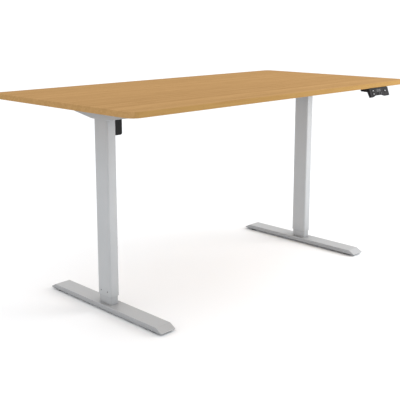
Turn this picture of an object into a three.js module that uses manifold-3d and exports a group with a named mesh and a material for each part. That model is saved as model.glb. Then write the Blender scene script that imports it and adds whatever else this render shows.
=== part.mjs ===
// Height adjustable standing desk: a bamboo worktop on a two-leg lifting frame.
// Millimetres, +Z up. X runs along the worktop, -Y is the side where a person sits.
// The origin is on the floor under the middle of the worktop.
// The model is at its lowest height, with the telescopic legs closed.

import * as THREE from 'three';
import { mergeVertices } from 'three/addons/utils/BufferGeometryUtils.js';
import Module from 'manifold-3d';

const wasm = await Module();
wasm.setup();

// ---------------------------------------------------------------- dimensions

const TOP = { length: 1400, width: 700, thick: 18, corner: 30, height: 692 };
const UNDERSIDE = TOP.height - TOP.thick;
const FIT = 0.3; // gap between pieces that touch
const OVER = 1; // how far a cutting shape runs past the face it opens

const LEG = { x: 514, y: 3 };
const OUTER = { w: 36.5, d: 64.5, wall: 1.3, corner: 6, bottom: 49 };
const INNER = { w: 31.5, d: 59.5, wall: 1.5, corner: 5, top: 612, endPlate: 8 };

const FOOT = { width: 59, halfFlat: 259, bevel: 24, top: 22, bottom: 9, wall: 2 };
const FOOT_BOLT = { y: 18, hole: 4.5, thread: 3.4 };
const GLIDE = { y: 242, padRadius: 24, padHeight: 6.5, studRadius: 4, studTop: 19.4 };
const GLIDE_BOSS = { radius: 8, bottom: 9.5 };

// What is fixed to the top of each inner tube hangs down this far inside it.
const CAP = { length: 38, gap: 0.2, rim: 2, mouthCorner: 3 };
const COLLAR = { length: 40, gap: 0.2, recess: 0.6 };

const BRACKET = {
  sheet: 2, web: 3, depth: 52, endDepth: 14, halfDeep: 40, halfLength: 260, screwHole: 3,
};
const BRACKET_FACE = OUTER.w / 2 + 0.15 + BRACKET.sheet;
const BRACKET_SCREWS = [-235, -110, 110, 235];
const WEB_BOTTOM = UNDERSIDE - BRACKET.web;

const RAIL = {
  y: 55, z: 651, height: 30, depth: 20, wall: 1.5, corner: 3, inner: 250, sleeve: 300,
};
const RAIL_PLATE = { height: 36, depth: 30, thick: 2 };

const SHAFT = { z: 650, flats: 7, halfLength: 524, hole: 7 };
const SHAFT_BORE = 5.25; // clears the shaft's corners
const BOX = { w: 33.2, d: 56, bottom: 618, top: 668, wall: 3, side: 1.8, corner: 4 };
const MITRE = { teeth: 16, radius: 12, face: 4.2, depth: 2, hub: 9, shaftHub: 8, hubLength: 2 };
const SCREW = {
  radius: 7, journal: 6, bottom: 105, top: 644, shoulder: 617, stop: 10, stopHeight: 6,
};
const BEARING = { inner: 6.3, outer: 13.5, bottom: 621.3, top: 629.5 };

const DRIVE = {
  near: BRACKET_FACE + FIT, far: 57, halfY: 20, bottom: 634, top: 668, wall: 2, corner: 5,
};
const MOTOR = { halfY: 19, bottom: 568, corner: 8, round: 6, wall: 2, canRadius: 15.5 };
const CAN = { shoulder: 2, step: 18, neck: 1, recess: 7 };
const CROWN = { teeth: 24, radius: 14, face: 2.2, depth: 1.8, hub: 8, hubLength: 5 };
const PINION = {
  teeth: 12, radius: 7, face: 4.4, depth: 1.8, hub: 4.5, hubLength: 2, neck: 3.5,
  carrier: 12, carrierTop: 18.5, carrierThick: 6,
};

const CASE = { x0: -300, x1: -100, y0: 95, y1: 175, bottom: 642, wall: 2, corner: 4 };
const LID = { thick: 2.5, ear: 14, hole: 2.5 };
const BOARD = { thick: 1.6, z: 648, x0: -276, x1: -124, y0: 103, y1: 151 };
const INLET = {
  width: 26, height: 18, depth: 20, proud: 1.5, pocketW: 18, pocketH: 10, pocket: 16, corner: 3,
};
const PLUG = { motorY: 125, handsetY: 118, width: 16, height: 11, depth: 16, proud: 3, z: 657 };

const HANDSET = { x: 492, width: 130, back: -316, front: -352, drop: 12, face: 33, tilt: 18.5 };
const PANEL = { thick: 8, dip: 5.5, dipFrom: 16, dipTo: 106, ramp: 27 };
const BUTTON = { depth: 3, proud: 1.2, pocket: 4.6, gap: 0.35, round: 2 };
const DISPLAY = { u: 62, v: 10, width: 32, height: 11, thick: 1.2, round: 1.5 };

const LEAD = {
  motorRadius: 2.5, motorSteps: 44, handsetRadius: 2, handsetSteps: 60, sides: 8,
  z: UNDERSIDE - 2.8,
};
const CLIP = { wall: 1.5, width: 8, tab: 9, hole: 1.8 };

const SMOOTH = 32; // segments round a full circle of a larger turned piece
const COARSE = 20;
const CORNER = 3; // curve setting of a rounded corner, which gives twice as many segments

// ---------------------------------------------------------------- materials

const PAINT = { color: 0xbfc2c4, roughness: 0.5, metalness: 0.35 };
const BAMBOO = { color: 0xc49a62, roughness: 0.55, metalness: 0 };
const BLACK = { color: 0x1c1c1e, roughness: 0.55, metalness: 0 };
const CHARCOAL = { color: 0x2f3033, roughness: 0.45, metalness: 0 };
const KEYCAP = { color: 0x3a3b3e, roughness: 0.6, metalness: 0 };
const RUBBER = { color: 0x141414, roughness: 0.85, metalness: 0 };
const STEEL = { color: 0xa8abae, roughness: 0.3, metalness: 1 };
const ACETAL = { color: 0xe6e4dc, roughness: 0.45, metalness: 0 };
const ALLOY = { color: 0x9da0a3, roughness: 0.45, metalness: 0.9 };
const BOARD_GREEN = { color: 0x1f5a3a, roughness: 0.5, metalness: 0 };
const GLASS = { color: 0x0d0e10, roughness: 0.1, metalness: 0 };

function mesh(name, geometry, finish) {
  const piece = new THREE.Mesh(geometry, new THREE.MeshStandardMaterial(finish));
  piece.name = name;
  return piece;
}

// ---------------------------------------------------------------- solids

function toSolid(geometry) {
  const bare = geometry.clone();
  bare.deleteAttribute('normal');
  bare.deleteAttribute('uv');
  const merged = mergeVertices(bare, 1e-4);
  return new wasm.Manifold(new wasm.Mesh({
    numProp: 3,
    vertProperties: new Float32Array(merged.attributes.position.array),
    triVerts: new Uint32Array(merged.index.array),
  }));
}

function toGeometry(solid) {
  const result = solid.getMesh();
  const geometry = new THREE.BufferGeometry();
  geometry.setAttribute('position', new THREE.BufferAttribute(result.vertProperties, 3));
  geometry.setIndex(new THREE.BufferAttribute(result.triVerts, 1));
  geometry.computeVertexNormals();
  return geometry;
}

function combine(base, added, removed) {
  let solid = toSolid(base);
  for (const geometry of added) solid = solid.add(toSolid(geometry));
  for (const geometry of removed) solid = solid.subtract(toSolid(geometry));
  return toGeometry(solid);
}

const cut = (base, ...removed) => combine(base, [], removed);

function polygon(points) {
  return new THREE.Shape(points.map(([a, b]) => new THREE.Vector2(a, b)));
}

function roundedRect(width, depth, radius) {
  const shape = new THREE.Shape();
  const a = width / 2 - radius;
  const b = depth / 2 - radius;
  shape.absarc(a, b, radius, 0, Math.PI / 2);
  shape.absarc(-a, b, radius, Math.PI / 2, Math.PI);
  shape.absarc(-a, -b, radius, Math.PI, Math.PI * 1.5);
  shape.absarc(a, -b, radius, Math.PI * 1.5, Math.PI * 2);
  return shape;
}

// A shape drawn in X and Y, raised from z0 to z1.
function alongZ(shape, z0, z1, curveSegments = CORNER) {
  const geometry = new THREE.ExtrudeGeometry(shape, {
    depth: z1 - z0, bevelEnabled: false, curveSegments,
  });
  return geometry.translate(0, 0, z0);
}

// A shape drawn in Y and Z, stretched from x0 to x1.
function alongX(shape, x0, x1, curveSegments = CORNER) {
  const turn = new THREE.Matrix4().makeBasis(
    new THREE.Vector3(0, 1, 0), new THREE.Vector3(0, 0, 1), new THREE.Vector3(1, 0, 0),
  );
  return alongZ(shape, x0, x1, curveSegments).applyMatrix4(turn);
}

function block(x0, x1, y0, y1, z0, z1) {
  const geometry = new THREE.BoxGeometry(x1 - x0, y1 - y0, z1 - z0);
  return geometry.translate((x0 + x1) / 2, (y0 + y1) / 2, (z0 + z1) / 2);
}

function rodZ(radius, z0, z1, x = 0, y = 0, segments = COARSE) {
  const geometry = new THREE.CylinderGeometry(radius, radius, z1 - z0, segments);
  return geometry.rotateX(Math.PI / 2).translate(x, y, (z0 + z1) / 2);
}

function rodX(radius, x0, x1, y, z, segments = COARSE) {
  const geometry = new THREE.CylinderGeometry(radius, radius, x1 - x0, segments);
  return geometry.rotateZ(Math.PI / 2).translate((x0 + x1) / 2, y, z);
}

function latheZ(profile, segments = COARSE) {
  const points = profile.map(([radius, z]) => new THREE.Vector2(radius, z));
  return new THREE.LatheGeometry(points, segments).rotateX(Math.PI / 2);
}

function hexX(flats, x0, x1) {
  const corner = flats / Math.sqrt(3);
  return rodX(corner, x0, x1, 0, 0, 6);
}

function rectTube(size, z0, z1) {
  const shape = roundedRect(size.w, size.d, size.corner);
  const bore = roundedRect(
    size.w - 2 * size.wall, size.d - 2 * size.wall, size.corner - size.wall,
  );
  shape.holes.push(bore);
  return alongZ(shape, z0, z1);
}

// A straight bevel gear whose pitch cone has its apex at the origin and opens towards -Z.
// The tooth tips stop just inside the pitch cone, so a pair turns freely at every angle.
function bevelGear({ teeth, radius, face, depth }, apex, hubRadius, hubLength) {
  const tip = radius - 0.2;
  const root = radius - depth;
  // One tooth: the share of its pitch, and the radius, at each corner of its outline.
  const tooth = [[0, root], [0.3, root], [0.42, tip], [0.88, tip]];
  const scale = (apex - face) / apex;
  const pitch = (Math.PI * 2) / teeth;
  const outline = [];
  for (let i = 0; i < teeth; i += 1) {
    for (const [share, r] of tooth) {
      outline.push([Math.cos((i + share) * pitch) * r, Math.sin((i + share) * pitch) * r]);
    }
  }
  const count = outline.length;
  const vertices = [];
  for (const [x, y] of outline) vertices.push(x, y, -apex);
  for (const [x, y] of outline) vertices.push(x * scale, y * scale, -(apex - face));
  vertices.push(0, 0, -apex, 0, 0, -(apex - face));
  const triangles = [];
  for (let i = 0; i < count; i += 1) {
    const next = (i + 1) % count;
    triangles.push(i, next, count + next, i, count + next, count + i);
    triangles.push(2 * count, next, i, 2 * count + 1, count + i, count + next);
  }
  const cone = new THREE.BufferGeometry();
  cone.setAttribute('position', new THREE.Float32BufferAttribute(vertices, 3));
  cone.setIndex(triangles);
  return combine(cone, [rodZ(hubRadius, -apex - hubLength, -apex + OVER)], []);
}

// ---------------------------------------------------------------- worktop

function makeWorktop() {
  const shape = roundedRect(TOP.length, TOP.width, TOP.corner);
  return mesh('tabletop', alongZ(shape, UNDERSIDE, TOP.height, 2 * CORNER), BAMBOO);
}

// ---------------------------------------------------------------- legs

function footProfile(inset, floor) {
  const rise = FOOT.top - FOOT.bottom;
  const slant = Math.hypot(FOOT.bevel, rise);
  const reach = (z) => FOOT.halfFlat + ((FOOT.top - z) * FOOT.bevel - inset * slant) / rise;
  const roof = FOOT.top - inset;
  return polygon([
    [-reach(floor), floor], [reach(floor), floor], [reach(roof), roof], [-reach(roof), roof],
  ]);
}

function makeFoot() {
  const half = FOOT.width / 2;
  const roof = FOOT.top - FOOT.wall;
  const inside = half - FOOT.wall;
  const bosses = [-1, 1].map((end) => (
    rodZ(GLIDE_BOSS.radius, GLIDE_BOSS.bottom, roof + OVER, 0, end * GLIDE.y)
  ));
  const bores = [-1, 1].map((end) => (
    rodZ(GLIDE.studRadius + FIT, GLIDE_BOSS.bottom - OVER, roof, 0, end * GLIDE.y)
  ));
  const boltHoles = [-1, 1].map((end) => (
    rodZ(FOOT_BOLT.hole, roof - OVER, FOOT.top + OVER, 0, end * FOOT_BOLT.y)
  ));
  const shell = cut(
    alongX(footProfile(0, FOOT.bottom), -half, half),
    alongX(footProfile(FOOT.wall, FOOT.bottom - OVER), -inside, inside),
  );
  return combine(shell, bosses, [...bores, ...boltHoles]);
}

function makeInnerTube() {
  const tube = rectTube(INNER, FOOT.top, INNER.top);
  const plateTop = FOOT.top + INNER.endPlate;
  const plate = alongZ(
    roundedRect(INNER.w - INNER.wall, INNER.d - INNER.wall, INNER.corner - INNER.wall),
    FOOT.top, plateTop,
  );
  const holes = [-1, 1].map((end) => (
    rodZ(FOOT_BOLT.thread, FOOT.top - OVER, plateTop + OVER, 0, end * FOOT_BOLT.y)
  ));
  return combine(tube, [plate], holes);
}

function makeSlideCap() {
  const { gap, rim, length, mouthCorner } = CAP;
  const bottom = INNER.top - length;
  const width = OUTER.w - 2 * (OUTER.wall + gap);
  const depth = OUTER.d - 2 * (OUTER.wall + gap);
  const body = alongZ(
    roundedRect(width, depth, OUTER.corner - OUTER.wall), bottom, INNER.top + gap + rim,
  );
  const socket = alongZ(
    roundedRect(INNER.w + 2 * gap, INNER.d + 2 * gap, INNER.corner),
    bottom - OVER, INNER.top + gap,
  );
  const mouth = alongZ(
    roundedRect(INNER.w - 2 * INNER.wall, INNER.d - 2 * INNER.wall, mouthCorner),
    bottom, INNER.top + gap + rim + OVER,
  );
  return cut(body, socket, mouth);
}

function makeNutBlock() {
  const { gap, length, mouthCorner } = CAP;
  const width = INNER.w - 2 * (INNER.wall + gap);
  const depth = INNER.d - 2 * (INNER.wall + gap);
  const bottom = INNER.top - length;
  const body = alongZ(roundedRect(width, depth, mouthCorner), bottom, INNER.top);
  return cut(body, rodZ(SCREW.radius + FIT, bottom - OVER, INNER.top + OVER));
}

function makeOuterTube(inward) {
  const tube = rectTube(OUTER, OUTER.bottom, WEB_BOTTOM);
  const wallX = inward * (OUTER.w / 2);
  const reach = OUTER.wall + OVER;
  const hole = rodX(SHAFT.hole, wallX - reach, wallX + reach, 0, SHAFT.z);
  return cut(tube, hole);
}

function makeGuideCollar() {
  const { gap, recess, length } = COLLAR;
  const bottom = OUTER.bottom + recess;
  const shape = roundedRect(
    OUTER.w - 2 * (OUTER.wall + gap), OUTER.d - 2 * (OUTER.wall + gap),
    OUTER.corner - OUTER.wall,
  );
  shape.holes.push(roundedRect(INNER.w + 2 * gap, INNER.d + 2 * gap, INNER.corner));
  return alongZ(shape, bottom, bottom + length);
}

function makeBracket(inward) {
  const floorDeep = UNDERSIDE - BRACKET.depth;
  const floorEnd = UNDERSIDE - BRACKET.endDepth;
  const side = polygon([
    [-BRACKET.halfLength, UNDERSIDE], [-BRACKET.halfLength, floorEnd],
    [-BRACKET.halfDeep, floorDeep], [BRACKET.halfDeep, floorDeep],
    [BRACKET.halfLength, floorEnd], [BRACKET.halfLength, UNDERSIDE],
  ]);
  const inside = BRACKET_FACE - BRACKET.sheet;
  const reach = BRACKET.halfLength + OVER;
  const hollow = block(-inside, inside, -reach, reach, floorDeep - OVER, WEB_BOTTOM);
  const flangeX = inward * BRACKET_FACE;
  const through = BRACKET.sheet + OVER;
  const shaftHole = rodX(SHAFT.hole, flangeX - through, flangeX + through, 0, SHAFT.z);
  const screwHoles = BRACKET_SCREWS.map((y) => (
    rodZ(BRACKET.screwHole, WEB_BOTTOM - OVER, UNDERSIDE + OVER, 0, y, 16)
  ));
  return cut(alongX(side, -BRACKET_FACE, BRACKET_FACE), hollow, shaftHole, ...screwHoles);
}

function makeGearbox() {
  const half = BOX.w / 2;
  const body = alongZ(roundedRect(BOX.w, BOX.d, BOX.corner), BOX.bottom, BOX.top);
  const inside = half - BOX.side;
  const reach = BEARING.outer + FIT;
  const cavity = block(-inside, inside, -reach, reach, BOX.bottom + BOX.wall, BOX.top - BOX.wall);
  const shaftBore = rodX(SHAFT_BORE, -half - OVER, half + OVER, 0, SHAFT.z);
  const screwBore = rodZ(
    SCREW.radius + 5 * FIT, BOX.bottom - OVER, BOX.bottom + BOX.wall + OVER,
  );
  return cut(body, cavity, shaftBore, screwBore);
}

function makeBearing() {
  return latheZ([
    [BEARING.inner, BEARING.bottom], [BEARING.outer, BEARING.bottom],
    [BEARING.outer, BEARING.top], [BEARING.inner, BEARING.top], [BEARING.inner, BEARING.bottom],
  ], SMOOTH);
}

function makeLeadScrew() {
  const stopTop = SCREW.bottom + SCREW.stopHeight;
  return latheZ([
    [0, SCREW.bottom], [SCREW.stop, SCREW.bottom], [SCREW.stop, stopTop],
    [SCREW.radius, stopTop], [SCREW.radius, SCREW.shoulder], [SCREW.journal, SCREW.shoulder],
    [SCREW.journal, SCREW.top], [0, SCREW.top],
  ], COARSE);
}

function makeScrewGear() {
  const hub = SHAFT.z - MITRE.radius - BEARING.top - FIT;
  const gear = bevelGear(MITRE, MITRE.radius, MITRE.hub, hub);
  const bore = rodZ(SCREW.journal + FIT, BEARING.top - SHAFT.z, OVER);
  return cut(gear, bore).translate(0, 0, SHAFT.z);
}

// A bevel gear on the cross shaft, opening towards +X from its apex.
function shaftGear(spec, apex, hubRadius, hubLength) {
  const gear = bevelGear(spec, apex, hubRadius, hubLength).rotateY(-Math.PI / 2);
  return cut(gear, hexX(SHAFT.flats + 2 * FIT, 0, apex + hubLength + OVER));
}

function makeGlide() {
  const edge = 1.5;
  return latheZ([
    [0, 0], [GLIDE.padRadius - edge, 0], [GLIDE.padRadius, edge],
    [GLIDE.padRadius, GLIDE.padHeight - edge], [GLIDE.padRadius - edge, GLIDE.padHeight],
    [GLIDE.studRadius, GLIDE.padHeight], [GLIDE.studRadius, GLIDE.studTop], [0, GLIDE.studTop],
  ], SMOOTH);
}

function makeLeg(name, side) {
  const leg = new THREE.Group();
  const inward = -side;
  leg.position.set(side * LEG.x, LEG.y, 0);
  leg.add(mesh(`${name}_foot`, makeFoot(), PAINT));
  leg.add(mesh(`${name}_inner_tube`, makeInnerTube(), PAINT));
  leg.add(mesh(`${name}_slide_cap`, makeSlideCap(), ACETAL));
  leg.add(mesh(`${name}_lift_nut`, makeNutBlock(), ACETAL));
  leg.add(mesh(`${name}_outer_tube`, makeOuterTube(inward), PAINT));
  leg.add(mesh(`${name}_guide_collar`, makeGuideCollar(), ACETAL));
  leg.add(mesh(`${name}_bracket`, makeBracket(inward), PAINT));
  leg.add(mesh(`${name}_gearbox`, makeGearbox(), ALLOY));
  leg.add(mesh(`${name}_screw_bearing`, makeBearing(), STEEL));
  leg.add(mesh(`${name}_lead_screw`, makeLeadScrew(), STEEL));
  leg.add(mesh(`${name}_screw_gear`, makeScrewGear(), STEEL));
  const gearShape = shaftGear(MITRE, MITRE.radius, MITRE.shaftHub, MITRE.hubLength);
  const gear = mesh(`${name}_shaft_gear`, gearShape, STEEL);
  gear.position.z = SHAFT.z;
  leg.add(gear);
  for (const [place, end] of [['front', -1], ['rear', 1]]) {
    const glide = mesh(`${name}_${place}_glide`, makeGlide(), RUBBER);
    glide.position.y = end * GLIDE.y;
    leg.add(glide);
  }
  return leg;
}

// ---------------------------------------------------------------- crossbar

function railSection(grow) {
  const { height, depth, wall, corner } = RAIL;
  const shape = roundedRect(depth + grow, height + grow, corner);
  shape.holes.push(roundedRect(depth + grow - 2 * wall, height + grow - 2 * wall, corner - wall));
  return shape;
}

function makeEndRail() {
  const start = BRACKET_FACE - LEG.x;
  const tube = alongX(railSection(0), start + OVER, -RAIL.inner, 2);
  const plate = alongX(
    roundedRect(RAIL_PLATE.depth, RAIL_PLATE.height, RAIL.corner),
    start, start + RAIL_PLATE.thick, 2,
  );
  return combine(tube, [plate], []);
}

function makeSleeveRail() {
  return alongX(railSection(2 * (RAIL.wall + FIT)), -RAIL.sleeve, RAIL.sleeve, 2);
}

function makeCrossbar() {
  const bar = new THREE.Group();
  for (const [place, end] of [['front', -1], ['rear', 1]]) {
    const row = new THREE.Group();
    row.position.set(0, LEG.y + end * RAIL.y, RAIL.z);
    const left = mesh(`left_${place}_rail`, makeEndRail(), PAINT);
    const right = mesh(`right_${place}_rail`, makeEndRail(), PAINT);
    right.rotation.z = Math.PI;
    row.add(left, right, mesh(`${place}_sleeve_rail`, makeSleeveRail(), PAINT));
    bar.add(row);
  }
  return bar;
}

// ---------------------------------------------------------------- drive

function makeDriveHousing() {
  const width = DRIVE.far - DRIVE.near;
  const depth = 2 * DRIVE.halfY;
  const { wall, corner, bottom, top } = DRIVE;
  const body = alongZ(roundedRect(width, depth, corner), bottom, top);
  const cavity = alongZ(
    roundedRect(width - 2 * wall, depth - 2 * wall, corner - wall), bottom - OVER, top - wall,
  );
  const bore = rodX(SHAFT_BORE, -width, width, 0, SHAFT.z);
  return cut(body, cavity, bore);
}

function makeMotorCover() {
  const { round } = MOTOR;
  const width = DRIVE.far - DRIVE.near;
  const depth = 2 * MOTOR.halfY;
  const top = DRIVE.bottom - FIT;
  const core = roundedRect(width - 2 * round, depth - 2 * round, MOTOR.corner - round);
  const body = new THREE.ExtrudeGeometry(core, {
    depth: top - MOTOR.bottom,
    bevelEnabled: true,
    bevelThickness: round,
    bevelSize: round,
    bevelSegments: 3,
    curveSegments: 2,
  }).translate(0, 0, MOTOR.bottom + round);
  const over = block(-width, width, -depth, depth, top, top + 4 * round);
  const cavity = rodZ(MOTOR.canRadius + FIT, MOTOR.bottom + MOTOR.wall, top + OVER);
  return cut(body, over, cavity);
}

function makeGearmotor() {
  const bottom = MOTOR.bottom + MOTOR.wall + FIT;
  const top = DRIVE.bottom - 2;
  const radius = MOTOR.canRadius;
  const { shoulder, step, neck, recess } = CAN;
  const can = latheZ([
    [0, bottom], [radius - shoulder, bottom], [radius, bottom + shoulder],
    [radius, top - step], [radius - neck, top - step + neck], [radius - neck, top], [0, top],
  ], SMOOTH);
  return cut(can, rodZ(PINION.carrier + FIT, top - recess, top + OVER, 0, 0, SMOOTH));
}

// The pinion, its short shaft and the planet carrier that drives it are one turned piece.
function makePinion() {
  const { carrier, carrierTop, carrierThick } = PINION;
  const gear = bevelGear(PINION, CROWN.radius, PINION.hub, PINION.hubLength);
  const neck = rodZ(PINION.neck, -carrierTop - OVER, -CROWN.radius);
  const plate = rodZ(carrier, -carrierTop - carrierThick, -carrierTop, 0, 0, SMOOTH);
  return combine(gear, [neck, plate], []).translate(0, 0, SHAFT.z);
}

function makeDrive() {
  const drive = new THREE.Group();
  drive.position.set(-LEG.x + (DRIVE.near + DRIVE.far) / 2, LEG.y, 0);
  drive.add(mesh('drive_housing', makeDriveHousing(), BLACK));
  drive.add(mesh('motor_cover', makeMotorCover(), BLACK));
  drive.add(mesh('gearmotor', makeGearmotor(), STEEL));
  drive.add(mesh('motor_pinion', makePinion(), STEEL));
  const crownShape = shaftGear(CROWN, PINION.radius, CROWN.hub, CROWN.hubLength);
  const crown = mesh('drive_crown_gear', crownShape, STEEL);
  crown.position.z = SHAFT.z;
  drive.add(crown);
  return drive;
}

function makeCrossShaft() {
  const shaft = mesh('cross_shaft', hexX(SHAFT.flats, -SHAFT.halfLength, SHAFT.halfLength), STEEL);
  shaft.position.set(0, LEG.y, SHAFT.z);
  return shaft;
}

// ---------------------------------------------------------------- control box

function makeCase() {
  const { x0, x1, y0, y1, bottom, wall } = CASE;
  const top = UNDERSIDE - LID.thick - FIT;
  const middleX = (x0 + x1) / 2;
  const middleY = (y0 + y1) / 2;
  const width = x1 - x0;
  const depth = y1 - y0;
  const body = alongZ(roundedRect(width, depth, CASE.corner), bottom, top, 2)
    .translate(middleX, middleY, 0);
  const cavity = alongZ(
    roundedRect(width - 2 * wall, depth - 2 * wall, CASE.corner - wall),
    bottom + wall, top + OVER, 2,
  ).translate(middleX, middleY, 0);
  const slotY = PLUG.width / 2 + FIT;
  const slotZ = PLUG.height / 2 + FIT;
  const motorHole = block(
    x0 - OVER, x0 + 2 * wall, PLUG.motorY - slotY, PLUG.motorY + slotY, PLUG.z - slotZ, PLUG.z + slotZ,
  );
  const handsetHole = block(
    x1 - 2 * wall, x1 + OVER, PLUG.handsetY - slotY, PLUG.handsetY + slotY,
    PLUG.z - slotZ, PLUG.z + slotZ,
  );
  const inletX = INLET.width / 2 + FIT;
  const inletZ = INLET.height / 2 + FIT;
  const inletHole = block(
    middleX - inletX, middleX + inletX, y1 - 2 * wall, y1 + OVER, PLUG.z - inletZ, PLUG.z + inletZ,
  );
  return cut(body, cavity, motorHole, handsetHole, inletHole);
}

function makeLid() {
  const middleX = (CASE.x0 + CASE.x1) / 2;
  const middleY = (CASE.y0 + CASE.y1) / 2;
  const width = CASE.x1 - CASE.x0 + 2 * LID.ear;
  const bottom = UNDERSIDE - LID.thick;
  const plate = alongZ(roundedRect(width, CASE.y1 - CASE.y0, CASE.corner), bottom, UNDERSIDE, 2);
  const holes = [-1, 1].map((end) => (
    rodZ(LID.hole, bottom - OVER, UNDERSIDE + OVER, end * (width - LID.ear) / 2, 0, 16)
  ));
  return cut(plate, ...holes).translate(middleX, middleY, 0);
}

function makeInlet() {
  const halfW = INLET.width / 2;
  const halfH = INLET.height / 2;
  const face = INLET.proud;
  const body = block(-halfW, halfW, -INLET.depth, face, -halfH, halfH);
  const pocketShape = roundedRect(INLET.pocketW, INLET.pocketH, INLET.corner);
  const pocket = alongZ(pocketShape, face - INLET.pocket, face + OVER, 2)
    .rotateX(-Math.PI / 2);
  return cut(body, pocket);
}

function makeControlBox() {
  const { x0, x1, y1 } = CASE;
  const box = new THREE.Group();
  box.add(mesh('control_box_case', makeCase(), BLACK));
  box.add(mesh('control_box_lid', makeLid(), BLACK));
  const board = block(
    BOARD.x0, BOARD.x1, BOARD.y0, BOARD.y1, BOARD.z, BOARD.z + BOARD.thick,
  );
  box.add(mesh('circuit_board', board, BOARD_GREEN));
  const inlet = mesh('mains_inlet', makeInlet(), BLACK);
  inlet.position.set((x0 + x1) / 2, y1, PLUG.z);
  box.add(inlet);
  const halfW = PLUG.width / 2;
  const halfH = PLUG.height / 2;
  for (const [name, x, y, out] of [
    ['motor_connector', x0, PLUG.motorY, -1],
    ['handset_connector', x1, PLUG.handsetY, 1],
  ]) {
    const from = Math.min(out * PLUG.proud, -out * PLUG.depth);
    const to = Math.max(out * PLUG.proud, -out * PLUG.depth);
    const plug = mesh(name, block(from, to, -halfW, halfW, -halfH, halfH), CHARCOAL);
    plug.position.set(x, y, PLUG.z);
    box.add(plug);
  }
  return box;
}

// ---------------------------------------------------------------- handset

// On the handset face, u runs from its left end and v down its slope from the top edge.
const KEYS = [
  { name: 'up_button', u: 24, v: 9.5, width: 17, height: 9 },
  { name: 'down_button', u: 24, v: 21.5, width: 17, height: 9 },
  { name: 'memory_1_button', u: 50.5, v: 21.5, width: 9, height: 5.5 },
  { name: 'memory_2_button', u: 62, v: 21.5, width: 9, height: 5.5 },
  { name: 'memory_3_button', u: 73.5, v: 21.5, width: 9, height: 5.5 },
  { name: 'set_button', u: 104, v: 14.5, width: 13, height: 13, round: 6.4 },
];

// Local frame of the face: X along the desk, Y up the slope, Z out of the face.
const LEAN = THREE.MathUtils.degToRad(HANDSET.tilt);
const FACE_LEFT = HANDSET.x - HANDSET.width / 2;
const FACE_TOP = UNDERSIDE - FIT;
const FACE_TO_DESK = new THREE.Matrix4()
  .makeTranslation(FACE_LEFT, HANDSET.front, FACE_TOP)
  .multiply(new THREE.Matrix4().makeRotationX(Math.PI / 2 - LEAN));

function onFace(geometry) {
  return geometry.applyMatrix4(FACE_TO_DESK);
}

function keySolid(key, grow, z0, z1) {
  const width = key.width + 2 * grow;
  const height = key.height + 2 * grow;
  const round = key.round ?? BUTTON.round;
  const shape = roundedRect(width, height, round + grow);
  return alongZ(shape, z0, z1, round > 5 ? 4 : 2).translate(key.u, -key.v, 0);
}

// The lower edge of the face arches up between its two ends.
function dipCutter() {
  const { dipFrom, dipTo, dip, ramp, thick } = PANEL;
  const bend = ramp / 2;
  const low = -HANDSET.face - 2;
  const high = -HANDSET.face + dip;
  const shape = new THREE.Shape();
  shape.moveTo(dipFrom, low);
  shape.bezierCurveTo(dipFrom + bend, low, dipFrom + bend, high, dipFrom + ramp, high);
  shape.lineTo(dipTo - ramp, high);
  shape.bezierCurveTo(dipTo - bend, high, dipTo - bend, low, dipTo, low);
  return onFace(alongZ(shape, -thick - 2, 2, 8));
}

function makeHandsetCase() {
  const tipY = HANDSET.front - Math.sin(LEAN) * HANDSET.face;
  const tipZ = FACE_TOP - Math.cos(LEAN) * HANDSET.face;
  const body = alongX(polygon([
    [HANDSET.back, FACE_TOP], [HANDSET.front, FACE_TOP], [tipY, tipZ],
    [tipY + PANEL.thick * Math.cos(LEAN), tipZ - PANEL.thick * Math.sin(LEAN)],
    [HANDSET.front + PANEL.thick, FACE_TOP - HANDSET.drop - 1],
    [HANDSET.back, FACE_TOP - HANDSET.drop],
  ]), FACE_LEFT, FACE_LEFT + HANDSET.width);
  const pockets = KEYS.map((key) => onFace(keySolid(key, BUTTON.gap, -BUTTON.pocket, OVER)));
  const window = keySolid(DISPLAY, FIT, -DISPLAY.thick - FIT, OVER);
  return cut(body, dipCutter(), ...pockets, onFace(window));
}

function makeHandset() {
  const handset = new THREE.Group();
  handset.add(mesh('handset_case', makeHandsetCase(), CHARCOAL));
  const glass = onFace(keySolid(DISPLAY, 0, -DISPLAY.thick, 0));
  handset.add(mesh('handset_display', glass, GLASS));
  for (const key of KEYS) {
    const cap = onFace(keySolid(key, 0, -BUTTON.depth, BUTTON.proud));
    handset.add(mesh(key.name, cap, KEYCAP));
  }
  return handset;
}

// ---------------------------------------------------------------- leads

function lead(points, radius, steps) {
  const path = new THREE.CatmullRomCurve3(
    points.map(([x, y, z]) => new THREE.Vector3(x, y, z)), false, 'centripetal',
  );
  const section = new THREE.Shape();
  section.absarc(0, 0, radius, 0, Math.PI * 2);
  return new THREE.ExtrudeGeometry(section, {
    extrudePath: path, steps, curveSegments: LEAD.sides / 2, bevelEnabled: false,
  });
}

const MOTOR_ROUTE = [
  [-456.7, 3, 657], [-451, 3, 657.5], [-443, 4, 663], [-437, 9, 669.5], [-434, 18, LEAD.z],
  [-434, 40, LEAD.z], [-434, 66, LEAD.z], [-434, 90, LEAD.z], [-427, 112, LEAD.z],
  [-408, 124, LEAD.z], [-385, 125, LEAD.z], [-362, 125, LEAD.z], [-340, 125, 669],
  [-325, 125, 661], [-314, 125, 657.3], [-303.3, 125, 657],
];

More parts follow.
